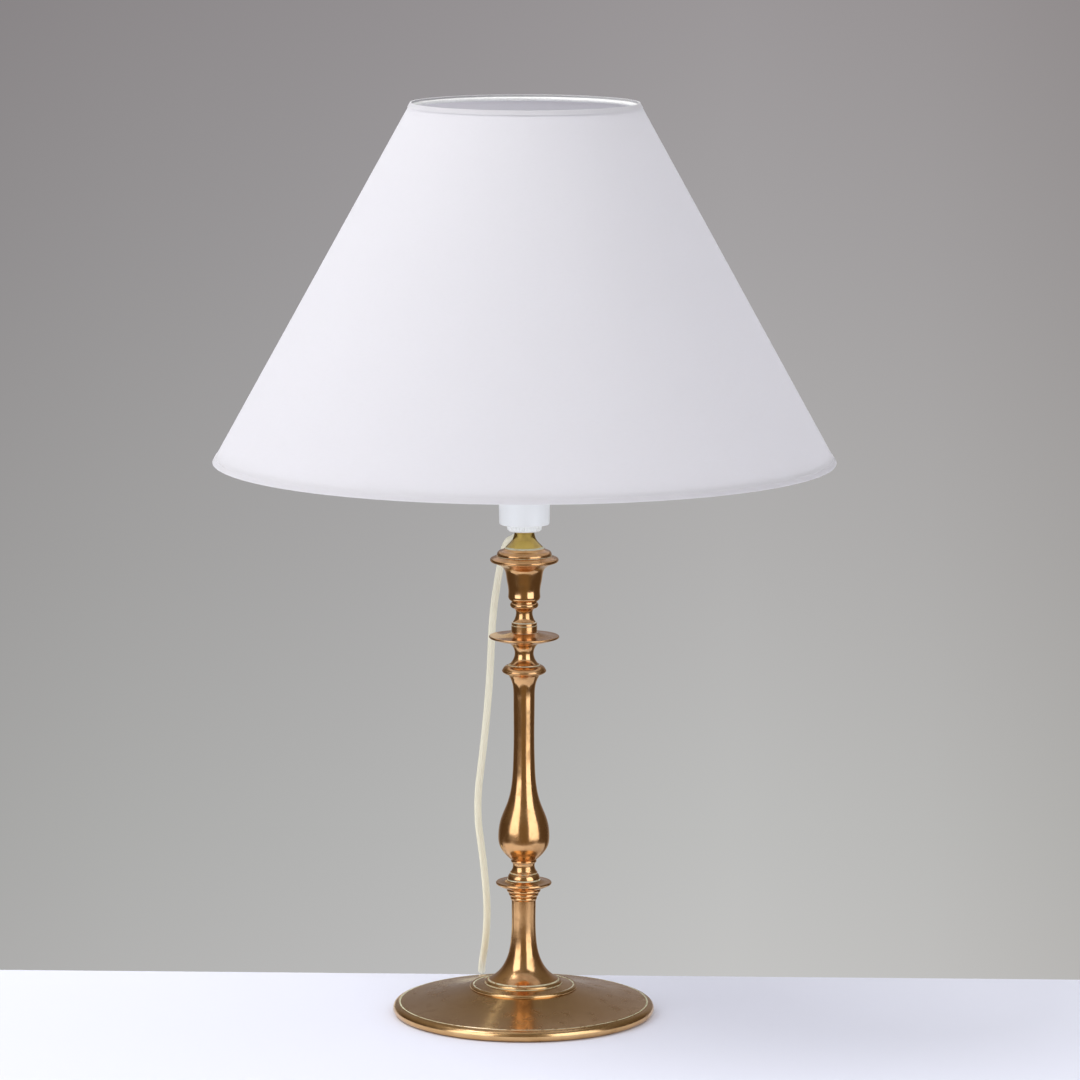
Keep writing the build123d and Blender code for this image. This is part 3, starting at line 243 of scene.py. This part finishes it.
TABLE_FRONT = -3.0
TABLE_BACK = 0.70
TABLE_SIDE = 2.0
FRONT_IN_METAL = 0.31  # polished metal mirrors the table up to here in front of the lamp
SIDE_IN_METAL = 0.42  # and up to here on either side
STRIP_SIDE = 0.56
STRIP_HEIGHT = 0.125
VIEW_DISTANCE = 4.61  # from the camera to the low back edge, along the line of sight
WALL_LOW = -0.23  # lowest and highest direction, and widest to one side, in which the wall is seen
WALL_HIGH = -0.04
WALL_SIDE = 0.11

ROOM_LIGHT = 0.95
ROOM_COLOUR = (1.0, 1.0, 1.01)
KEY_POWER = 36.0
SPOT_POWER = 34.0
LEFT_POWER = 27.0
RIGHT_POWER = 32.0
KEY_PLACE = (-1.38, -0.42, 2.63)
KEY_TARGET = (0.0, 0.0, 0.45)
KEY_SIZE = (1.40, 1.40)
SPOT_SIZE = (0.48, 0.48)
LEFT_LIGHT = ((-1.62, -1.50, 1.32), (0.0, 0.0, 1.32), (1.75, 2.50))  # place, target, width and height
RIGHT_LIGHT = ((1.63, -1.52, 1.17), (0.0, 0.0, 1.17), (1.90, 2.80))
WHITE_LIGHT = (1.0, 1.0, 1.0)
COOL_LIGHT = (0.95, 1.0, 1.14)


def wall_grey_with_painted_light(tree, across, upward):
    """The grey of the studio wall by direction, with painted light on it: lighter low down and a painted
    pool of light just right of the middle, darker higher up and to the sides. Across is towards +X, upward
    towards +Z.
    """
    # painted light fall-off: the wall darkens from the table upward
    painted_falloff_by_height = ramp(
        tree,
        map_range(tree, upward, WALL_LOW, WALL_HIGH),
        [
            (0.00, (0.560, 0.556, 0.549)),
            (0.16, (0.512, 0.512, 0.503)),
            (0.42, (0.441, 0.434, 0.431)),
            (0.70, (0.376, 0.362, 0.367)),
            (1.00, (0.318, 0.297, 0.305)),
        ],
    )
    # a painted pool of light across the wall, brightest a little right of the middle, darker to either side
    painted_light_by_side = ramp(
        tree,
        map_range(tree, across, -WALL_SIDE, WALL_SIDE),
        [
            (0.00, (0.740, 0.735, 0.735)),
            (0.16, (0.810, 0.810, 0.810)),
            (0.36, (0.880, 0.880, 0.885)),
            (0.66, (1.000, 1.000, 1.000)),
            (0.82, (0.950, 0.945, 0.940)),
            (1.00, (0.830, 0.815, 0.800)),
        ],
    )
    return mix(tree, 1.0, painted_falloff_by_height, painted_light_by_side, blend="MULTIPLY")


def room_for_metal(tree, direction, wall):
    """What polished metal mirrors: the grey wall behind the lamp, a dim warm room in front of it."""
    x, y, z = direction
    sideways = math_node(tree, "ABSOLUTE", x)
    room = mix(tree, map_range(tree, sideways, 0.35, 0.75), (0.200, 0.150, 0.085), (0.100, 0.072, 0.046))
    ceiling = mix(tree, map_range(tree, x, -0.25, 0.20), (0.250, 0.215, 0.165), (0.170, 0.150, 0.120))
    room = mix(tree, map_range(tree, z, 0.25, 0.65), room, ceiling)
    return mix(tree, map_range(tree, y, 0.70, 0.93), room, wall)


def plane_object(name, corners, material):
    shape = bmesh.new()
    shape.faces.new([shape.verts.new(corner) for corner in corners])
    mesh = bpy.data.meshes.new(name)
    shape.to_mesh(mesh)
    shape.free()
    mesh.materials.append(material)
    made = bpy.data.objects.new(name, mesh)
    bpy.context.scene.collection.objects.link(made)
    return made


def table_material():
    material, tree, shader = new_material("table_white")
    place = object_place(tree)
    grain = noise(tree, place, 900.0, 3.0)
    cloud = noise(tree, place, 2.0, 1.0)
    tone = ramp(tree, cloud, [(0.3, (0.745, 0.757, 0.852)), (0.7, (0.765, 0.777, 0.872))])
    shader.inputs["Roughness"].default_value = 0.75
    shader.inputs["Specular IOR Level"].default_value = 0.2
    connect(tree, shader, Base_Color=tone, Normal=bump(tree, grain, 0.00004, 0.4))
    # polished metal mirrors only the table near the lamp, and the dim room beyond it
    x, y, _ = node(tree, "SeparateXYZ", {0: place}).outputs
    aside = math_node(tree, "GREATER_THAN", math_node(tree, "ABSOLUTE", x), SIDE_IN_METAL)
    ahead = math_node(tree, "LESS_THAN", y, -FRONT_IN_METAL)
    behind = math_node(tree, "GREATER_THAN", y, FLOOR_EDGE)
    beyond = math_node(tree, "MAXIMUM", math_node(tree, "MAXIMUM", aside, ahead), behind)
    unseen = math_node(tree, "MULTIPLY", beyond, node(tree, "LightPath").outputs["Is Glossy Ray"])
    clear = node(tree, "BsdfTransparent")
    both = node(tree, "MixShader", {0: unseen, 1: shader.outputs[0], 2: clear.outputs[0]})
    tree.links.new(both.outputs[0], tree.nodes["Material Output"].inputs["Surface"])
    return material


def strip_material():
    """It glows with the same grey as the wall seen above it, painted light fall-off included, from the front
    only.
    """
    material, tree, shader = new_material("low_edge_grey")
    material.cycles.emission_sampling = "NONE"
    x, _, z = node(tree, "SeparateXYZ", {0: object_place(tree)}).outputs
    across = map_range(tree, x, CAMERA_PLACE.x, CAMERA_PLACE.x + VIEW_DISTANCE)
    upward = map_range(tree, z, CAMERA_PLACE.z - VIEW_DISTANCE, CAMERA_PLACE.z, -1.0, 0.0)
    for value in (across, upward):
        value.node.clamp = False
    # the glow paints the wall's light and shade onto the strip; it lights nothing
    glow = node(tree, "Emission", {"Color": wall_grey_with_painted_light(tree, across, upward), "Strength": 1.0})
    clear = node(tree, "BsdfTransparent")
    behind = node(tree, "NewGeometry").outputs["Backfacing"]
    both = node(tree, "MixShader", {0: behind, 1: glow.outputs[0], 2: clear.outputs[0]})
    tree.links.new(both.outputs[0], tree.nodes["Material Output"].inputs["Surface"])
    return material


def make_world():
    world = bpy.data.worlds.new("studio")
    bpy.context.scene.world = world
    world.use_nodes = True
    tree = world.node_tree
    tree.nodes.clear()
    x, y, z = node(tree, "SeparateXYZ", {0: node(tree, "TexCoord").outputs["Generated"]}).outputs
    wall = wall_grey_with_painted_light(tree, x, z)
    path = node(tree, "LightPath").outputs
    shown_rays = math_node(tree, "MAXIMUM", path["Is Camera Ray"], path["Is Transmission Ray"])
    mirrored = room_for_metal(tree, (x, y, z), wall)
    soft = node(tree, "Background", {"Color": rgba(ROOM_COLOUR), "Strength": ROOM_LIGHT})
    seen = node(tree, "Background", {"Color": wall, "Strength": 1.0})
    in_metal = node(tree, "Background", {"Color": mirrored, "Strength": 1.0})
    both = node(tree, "MixShader", {0: shown_rays, 1: soft.outputs[0], 2: seen.outputs[0]})
    by_ray = {0: path["Is Glossy Ray"], 1: both.outputs[0], 2: in_metal.outputs[0]}
    all_three = node(tree, "MixShader", by_ray)
    output = node(tree, "OutputWorld")
    tree.links.new(all_three.outputs[0], output.inputs["Surface"])


def soft_lamp(name, place, target, size, power, shape="RECTANGLE", in_metal_only=False):
    """A lamp that polished metal alone mirrors, or one that lights all and that no metal mirrors."""
    lamp = bpy.data.lights.new(name, "AREA")
    lamp.shape = shape
    lamp.size, lamp.size_y = size
    lamp.energy = power
    lamp.color = COOL_LIGHT if in_metal_only else WHITE_LIGHT
    made = bpy.data.objects.new(name, lamp)
    bpy.context.scene.collection.objects.link(made)
    made.location = place
    made.rotation_euler = (Vector(target) - Vector(place)).to_track_quat("-Z", "Y").to_euler()
    made.visible_camera = False
    made.visible_diffuse = not in_metal_only
    made.visible_glossy = in_metal_only


def make_stage():
    left, right = -TABLE_SIDE, TABLE_SIDE
    table_top = [
        (left, TABLE_FRONT, 0.0),
        (right, TABLE_FRONT, 0.0),
        (right, TABLE_BACK, 0.0),
        (left, TABLE_BACK, 0.0),
    ]
    plane_object("table_top", table_top, table_material())
    left_edge = FLOOR_EDGE + EDGE_SLANT * STRIP_SIDE
    right_edge = FLOOR_EDGE - EDGE_SLANT * STRIP_SIDE
    low_edge = [
        (-STRIP_SIDE, left_edge, 0.0),
        (STRIP_SIDE, right_edge, 0.0),
        (STRIP_SIDE, right_edge, STRIP_HEIGHT),
        (-STRIP_SIDE, left_edge, STRIP_HEIGHT),
    ]
    strip = plane_object("low_back_edge", low_edge, strip_material())
    strip.visible_shadow = strip.visible_diffuse = strip.visible_glossy = False
    make_world()
    soft_lamp("key_softbox", KEY_PLACE, KEY_TARGET, KEY_SIZE, KEY_POWER, "DISK")
    soft_lamp("key_spot", KEY_PLACE, KEY_TARGET, SPOT_SIZE, SPOT_POWER, "DISK", in_metal_only=True)
    soft_lamp("left_softbox", *LEFT_LIGHT, LEFT_POWER, in_metal_only=True)
    soft_lamp("right_softbox", *RIGHT_LIGHT, RIGHT_POWER, in_metal_only=True)


# ---------------------------------------------------------------- metals


def turned_coordinates(tree):
    """The place, and the profile plane of a turned piece: distance from the lamp's axis, and height."""
    place = object_place(tree)
    x, y, z = node(tree, "SeparateXYZ", {0: place}).outputs
    squares = math_node(tree, "ADD", math_node(tree, "MULTIPLY", x, x), math_node(tree, "MULTIPLY", y, y))
    radius = math_node(tree, "SQRT", squares)
    profile = node(tree, "CombineXYZ", {0: radius, 1: z}).outputs[0]
    drift = math_node(tree, "MULTIPLY", x, 0.03)  # lets the turned lines wander a little
    turned = node(tree, "CombineXYZ", {0: radius, 1: z, 2: drift}).outputs[0]
    return place, profile, turned


def line_mask(tree, profile, lines):
    """White on each turned line, given as (radius, height, half width) in metres."""
    mask = None
    for radius, height, half_width in lines:
        inputs = {0: profile, 1: (radius, height, 0.0)}
        distance = node(tree, "VectorMath", inputs, operation="DISTANCE").outputs["Value"]
        line = map_range(tree, distance, 0.55 * half_width, half_width, 1.0, 0.0)
        mask = line if mask is None else math_node(tree, "MAXIMUM", mask, line)
    return mask


def pit_mask(tree, place, scale, share, size):
    """White on small round pits: one in some cells, each about size metres across."""
    cells = node(tree, "TexVoronoi", {"Vector": place, "Scale": scale})
    cell_value = node(tree, "SeparateXYZ", {0: cells.outputs["Color"]}).outputs[0]
    chosen = math_node(tree, "LESS_THAN", cell_value, share)
    reach = size * scale
    spot = map_range(tree, cells.outputs["Distance"], 0.4 * reach, reach, 1.0, 0.0)
    return math_node(tree, "MULTIPLY", spot, chosen)


# Dried polish left in the grooves: radius, height and half width, in metres.
STEM_RESIDUE = [
    (0.0281, 0.0277, 0.00075),
    (0.0132, 0.1103, 0.00060),
    (0.0105, 0.1154, 0.00050),
    (0.0094, 0.1241, 0.00045),
    (0.0125, 0.2859, 0.00055),
    (0.0104, 0.3124, 0.00045),
    (0.0097, 0.3179, 0.00050),
    (0.0096, 0.3206, 0.00060),
    (0.0218, 0.3741, 0.00070),
    (0.0153, 0.3809, 0.00085),
]
BASE_RESIDUE = [
    (0.1001, 0.0090, 0.00085),
    (0.0404, 0.0234, 0.00070),
    (0.0306, 0.0250, 0.00070),
    (0.0284, 0.0272, 0.00060),
]
FLARE_RESIDUE = [(0.0149, 0.3812, 0.0008)]
DRIED_POLISH = (0.66, 0.67, 0.50)
PIT_DARK = (0.10, 0.055, 0.025)


def brass(name, light, dark, tarnish, roughness, residue, turning=0.000003):
    """Turned brass: clouded polish, turning lines, fine pits, and dried polish in the grooves."""
    material, tree, shader = new_material(name)
    place, profile, turned = turned_coordinates(tree)
    cloud = noise(tree, place, 38.0, 3.0, 0.5)
    smudge = noise(tree, place, 120.0, 1.0, 0.4)
    fine_lines = noise(tree, turned, 900.0, 2.0)
    broad_lines = noise(tree, turned, 300.0, 2.0)
    tone = mix(tree, map_range(tree, cloud, 0.35, 0.68), light, dark)
    tone = mix(tree, map_range(tree, smudge, 0.56, 0.74, 0.0, 0.55), tone, tarnish)
    tone = mix(tree, map_range(tree, broad_lines, 0.60, 0.78, 0.0, 0.30), tone, tarnish)
    pits = math_node(
        tree,
        "MAXIMUM",
        pit_mask(tree, place, 210.0, 0.10, 0.00045),
        pit_mask(tree, place, 480.0, 0.07, 0.00030),
    )
    tone = mix(tree, math_node(tree, "MULTIPLY", pits, 0.8), tone, PIT_DARK)
    broken = map_range(tree, noise(tree, place, 260.0, 3.0, 0.7), 0.30, 0.46)
    polish = math_node(tree, "MULTIPLY", line_mask(tree, profile, residue), broken)
    tone = mix(tree, polish, tone, DRIED_POLISH)
    gloss = map_range(tree, cloud, 0.3, 0.7, roughness - 0.02, roughness + 0.06)
    gloss = math_node(tree, "ADD", gloss, map_range(tree, smudge, 0.5, 0.75, 0.0, 0.10))
    gloss = math_node(tree, "MAXIMUM", gloss, math_node(tree, "MULTIPLY", polish, 0.8))
    surface = bump(tree, fine_lines, turning, 0.6)
    surface = bump(tree, math_node(tree, "MULTIPLY", pits, -1.0), 0.00012, 0.7, surface)
    surface = bump(tree, polish, 0.00010, 0.6, surface)
    connect(
        tree,
        shader,
        Base_Color=tone,
        Metallic=math_node(tree, "SUBTRACT", 1.0, polish),
        Roughness=gloss,
        Normal=surface,
    )
    return material


def moulded(name, colour, roughness, grain_size=0.0009, dirt=0.10):
    """Moulded plastic: a fine mould grain, a faint cloud of handling dirt, and light scuffs."""
    material, tree, shader = new_material(name)
    place = object_place(tree)
    grain = noise(tree, place, 1.0 / grain_size, 3.0)
    cloud = noise(tree, place, 60.0, 4.0, 0.6)
    scuffs = noise(tree, scaled(tree, place, (900.0, 120.0, 500.0)), 1.0, 3.0)
    worn = [0.86 * colour[0], 0.83 * colour[1], 0.76 * colour[2]]
    tone = mix(tree, map_range(tree, cloud, 0.45, 0.80, 0.0, dirt * 2), colour, worn)
    gloss = map_range(tree, cloud, 0.3, 0.7, roughness - 0.04, roughness + 0.06)
    gloss = math_node(tree, "ADD", gloss, map_range(tree, scuffs, 0.60, 0.72, 0.0, 0.12))
    surface = bump(tree, grain, 0.00002, 0.35)
    surface = bump(tree, scuffs, 0.00001, 0.3, surface)
    connect(tree, shader, Base_Color=tone, Roughness=gloss, Normal=surface)
    return material


def rubber(name):
    """Matt black rubber with pale dust in its grain."""
    material, tree, shader = new_material(name)
    place = object_place(tree)
    grain = noise(tree, place, 1600.0, 4.0)
    dust = noise(tree, place, 140.0, 5.0, 0.7)
    tone = mix(tree, map_range(tree, dust, 0.52, 0.75, 0.0, 0.5), (0.030, 0.030, 0.032), (0.16, 0.155, 0.15))
    shader.inputs["Specular IOR Level"].default_value = 0.3
    gloss = map_range(tree, dust, 0.4, 0.7, 0.62, 0.85)
    connect(tree, shader, Base_Color=tone, Roughness=gloss, Normal=bump(tree, grain, 0.00006, 0.5))
    return material


def glazed_ceramic(name):
    """Off-white glazed ceramic with iron specks and a slightly uneven glaze."""
    material, tree, shader = new_material(name)
    place = object_place(tree)
    wave = noise(tree, place, 160.0, 2.0)
    specks = pit_mask(tree, place, 700.0, 0.05, 0.00025)
    tone = mix(tree, map_range(tree, wave, 0.4, 0.7), (0.83, 0.81, 0.76), (0.78, 0.75, 0.68))
    tone = mix(tree, math_node(tree, "MULTIPLY", specks, 0.6), tone, (0.32, 0.24, 0.17))
    shader.inputs["Coat Weight"].default_value = 0.5
    shader.inputs["Coat Roughness"].default_value = 0.08
    gloss = map_range(tree, wave, 0.3, 0.7, 0.22, 0.36)
    connect(tree, shader, Base_Color=tone, Roughness=gloss, Normal=bump(tree, wave, 0.00008, 0.4))
    return material


def plated_metal(name, light, dark, roughness, stretch, stain=(0.30, 0.24, 0.17)):
    """Plated or drawn metal: lines along one direction, a clouded plate and small stains."""
    material, tree, shader = new_material(name)
    place = object_place(tree)
    lines = noise(tree, scaled(tree, place, stretch), 1.0, 3.0)
    cloud = noise(tree, place, 190.0, 4.0, 0.6)
    stains = pit_mask(tree, place, 330.0, 0.12, 0.0006)
    tone = mix(tree, map_range(tree, cloud, 0.35, 0.70), light, dark)
    tone = mix(tree, map_range(tree, lines, 0.50, 0.80, 0.0, 0.35), tone, dark)
    tone = mix(tree, math_node(tree, "MULTIPLY", stains, 0.5), tone, stain)
    gloss = map_range(tree, cloud, 0.3, 0.7, roughness - 0.05, roughness + 0.08)
    gloss = math_node(tree, "ADD", gloss, math_node(tree, "MULTIPLY", stains, 0.2))
    shader.inputs["Metallic"].default_value = 1.0
    connect(tree, shader, Base_Color=tone, Roughness=gloss, Normal=bump(tree, lines, 0.00002, 0.4))
    return material


def clear_glass(name):
    """Clear bulb glass with a faint draw of the melt and a trace of dust."""
    material, tree, shader = new_material(name)
    place = object_place(tree)
    draw = noise(tree, scaled(tree, place, (70.0, 70.0, 25.0)), 1.0, 2.0)
    dust = noise(tree, place, 500.0, 5.0, 0.7)
    tone = mix(tree, map_range(tree, dust, 0.5, 0.8, 0.0, 0.6), (0.99, 0.99, 0.98), (0.90, 0.89, 0.87))
    shader.inputs["Transmission Weight"].default_value = 1.0
    shader.inputs["IOR"].default_value = 1.47
    gloss = map_range(tree, dust, 0.45, 0.75, 0.01, 0.09)
    connect(tree, shader, Base_Color=tone, Roughness=gloss, Normal=bump(tree, draw, 0.00010, 0.3))
    return material


def black_glass(name):
    """The black glass between the cap's contacts."""
    material, tree, shader = new_material(name)
    place = object_place(tree)
    wave = noise(tree, place, 300.0, 3.0)
    tone = mix(tree, map_range(tree, wave, 0.4, 0.7), (0.018, 0.016, 0.016), (0.050, 0.042, 0.040))
    gloss = map_range(tree, wave, 0.3, 0.7, 0.12, 0.26)
    connect(tree, shader, Base_Color=tone, Roughness=gloss, Normal=bump(tree, wave, 0.00006, 0.4))
    return material


def filament_coat(name):
    """The yellow phosphor coat of the lamp's thin light rods, unlit and slightly lumpy."""
    material, tree, shader = new_material(name)
    place = object_place(tree)
    lumps = noise(tree, place, 1300.0, 3.0)
    tone = mix(tree, map_range(tree, lumps, 0.35, 0.70), (0.88, 0.60, 0.13), (0.80, 0.48, 0.08))
    gloss = map_range(tree, lumps, 0.3, 0.7, 0.40, 0.60)
    connect(tree, shader, Base_Color=tone, Roughness=gloss, Normal=bump(tree, lumps, 0.00010, 0.5))
    return material


def painted_wire(name):
    """White baked paint on wire: thin runs, a few chips down to the steel."""
    material, tree, shader = new_material(name)
    place = object_place(tree)
    runs = noise(tree, place, 420.0, 3.0)
    chips = pit_mask(tree, place, 120.0, 0.06, 0.0008)
    tone = mix(tree, map_range(tree, runs, 0.4, 0.7), (0.84, 0.84, 0.83), (0.78, 0.78, 0.76))
    tone = mix(tree, chips, tone, (0.36, 0.34, 0.33))
    surface = bump(tree, runs, 0.00005, 0.4)
    surface = bump(tree, math_node(tree, "MULTIPLY", chips, -1.0), 0.00008, 0.6, surface)
    gloss = map_range(tree, runs, 0.3, 0.7, 0.32, 0.45)
    connect(tree, shader, Base_Color=tone, Roughness=gloss, Normal=surface)
    return material


THREADS_AROUND = 170.0 * math.tau  # warp threads round the shade
WEFT_PER_METRE = 1900.0
LIGHT_THROUGH = 0.50  # share of the light that comes through the cloth


def shade_cloth(name, colour):
    """White cloth laminated on card: fine threads, faint slubs, light coming through."""
    material, tree, shader = new_material(name)
    x, y, z = node(tree, "SeparateXYZ", {0: object_place(tree)}).outputs
    angle = math_node(tree, "ARCTAN2", y, x)
    around = math_node(tree, "MULTIPLY", angle, THREADS_AROUND / math.tau)
    warp = math_node(tree, "SINE", math_node(tree, "MULTIPLY", around, math.tau))
    weft = math_node(tree, "SINE", math_node(tree, "MULTIPLY", z, math.tau * WEFT_PER_METRE))
    weave = math_node(tree, "MULTIPLY", warp, weft)
    place = node(tree, "CombineXYZ", {0: around, 1: z}).outputs[0]
    slub = noise(tree, scaled(tree, place, (0.25, 900.0, 1.0)), 1.0, 3.0)
    cloud = noise(tree, object_place(tree), 9.0, 3.0)
    tone = mix(tree, map_range(tree, slub, 0.45, 0.75, 0.0, 0.5), colour, [0.975 * c for c in colour])
    tone = mix(tree, map_range(tree, cloud, 0.4, 0.7, 0.0, 0.4), tone, [0.985 * c for c in colour])
    shader.inputs["Specular IOR Level"].default_value = 0.12
    surface = bump(tree, weave, 0.00003, 0.35)
    surface = bump(tree, slub, 0.00006, 0.35, surface)
    connect(
        tree,
        shader,
        Base_Color=tone,
        Roughness=map_range(tree, cloud, 0.3, 0.7, 0.82, 0.92),
        Normal=surface,
    )
    through = node(tree, "BsdfTranslucent", {"Color": tone, "Normal": surface})
    both = node(tree, "MixShader", {0: LIGHT_THROUGH, 1: shader.outputs[0], 2: through.outputs[0]})
    tree.links.new(both.outputs[0], tree.nodes["Material Output"].inputs["Surface"])
    return material


def metal_finishes():
    around_lines = (260.0, 260.0, 900.0)
    drawn_lines = (700.0, 200.0, 700.0)
    rolled_lines = (150.0, 150.0, 1400.0)
    length_lines = (200.0, 1200.0, 1200.0)
    stem = ((0.79, 0.47, 0.215), (0.69, 0.39, 0.165), (0.50, 0.26, 0.10))
    base = ((0.74, 0.48, 0.23), (0.62, 0.38, 0.165), (0.50, 0.29, 0.115))
    flare = ((0.68, 0.50, 0.14), (0.56, 0.40, 0.10), (0.38, 0.27, 0.07))
    zinc = ((0.66, 0.66, 0.67), (0.48, 0.48, 0.50))
    contact = ((0.80, 0.60, 0.28), (0.62, 0.42, 0.17))
    shell = ((0.76, 0.75, 0.71), (0.60, 0.58, 0.54))
    nickel = ((0.78, 0.75, 0.69), (0.64, 0.60, 0.53))
    return {
        "stem_brass": brass("stem_brass_finish", *stem, 0.15, STEM_RESIDUE),
        "base_brass": brass("base_brass_finish", *base, 0.17, BASE_RESIDUE, 0.000002),
        "flare_brass": brass("flare_brass_finish", *flare, 0.15, FLARE_RESIDUE),
        "steel": plated_metal("steel_finish", *zinc, 0.34, around_lines),
        "contact_brass": plated_metal("contact_brass_finish", *contact, 0.30, drawn_lines),
        "shell_metal": plated_metal("shell_metal_finish", *shell, 0.26, rolled_lines),
        "pin_metal": plated_metal("pin_metal_finish", *nickel, 0.24, length_lines),
    }


def other_finishes():
    return {
        "rubber": rubber("rubber_finish"),
        "holder_plastic": moulded("holder_plastic_finish", (0.95, 0.975, 0.95), 0.32, dirt=0.03),
        "insert_ceramic": glazed_ceramic("insert_ceramic_finish"),
        "bulb_glass": clear_glass("bulb_glass_finish"),
        "bulb_insulator": black_glass("bulb_insulator_finish"),
        "filament": filament_coat("filament_finish"),
        "shade_fabric": shade_cloth("shade_fabric_finish", (0.895, 0.887, 0.905)),
        "shade_tape": shade_cloth("shade_tape_finish", (0.885, 0.875, 0.893)),
        "wire_white": painted_wire("wire_white_finish"),
        "cord_pvc": moulded("cord_pvc_finish", (0.94, 0.905, 0.70), 0.42, 0.0007, 0.12),
        "switch_plastic": moulded("switch_plastic_finish", (0.84, 0.80, 0.66), 0.36),
    }


def dress_nodes(finishes):
    """Gives each carried CAD node the finish named after its material slot."""
    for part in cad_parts.values():
        for slot in part.material_slots:
            slot.material = finishes[slot.material.name.split(".")[0]]


place_camera()
finishes = {**metal_finishes(), **other_finishes()}
make_cord(finishes["cord_pvc"])
dress_nodes(finishes)
make_stage()
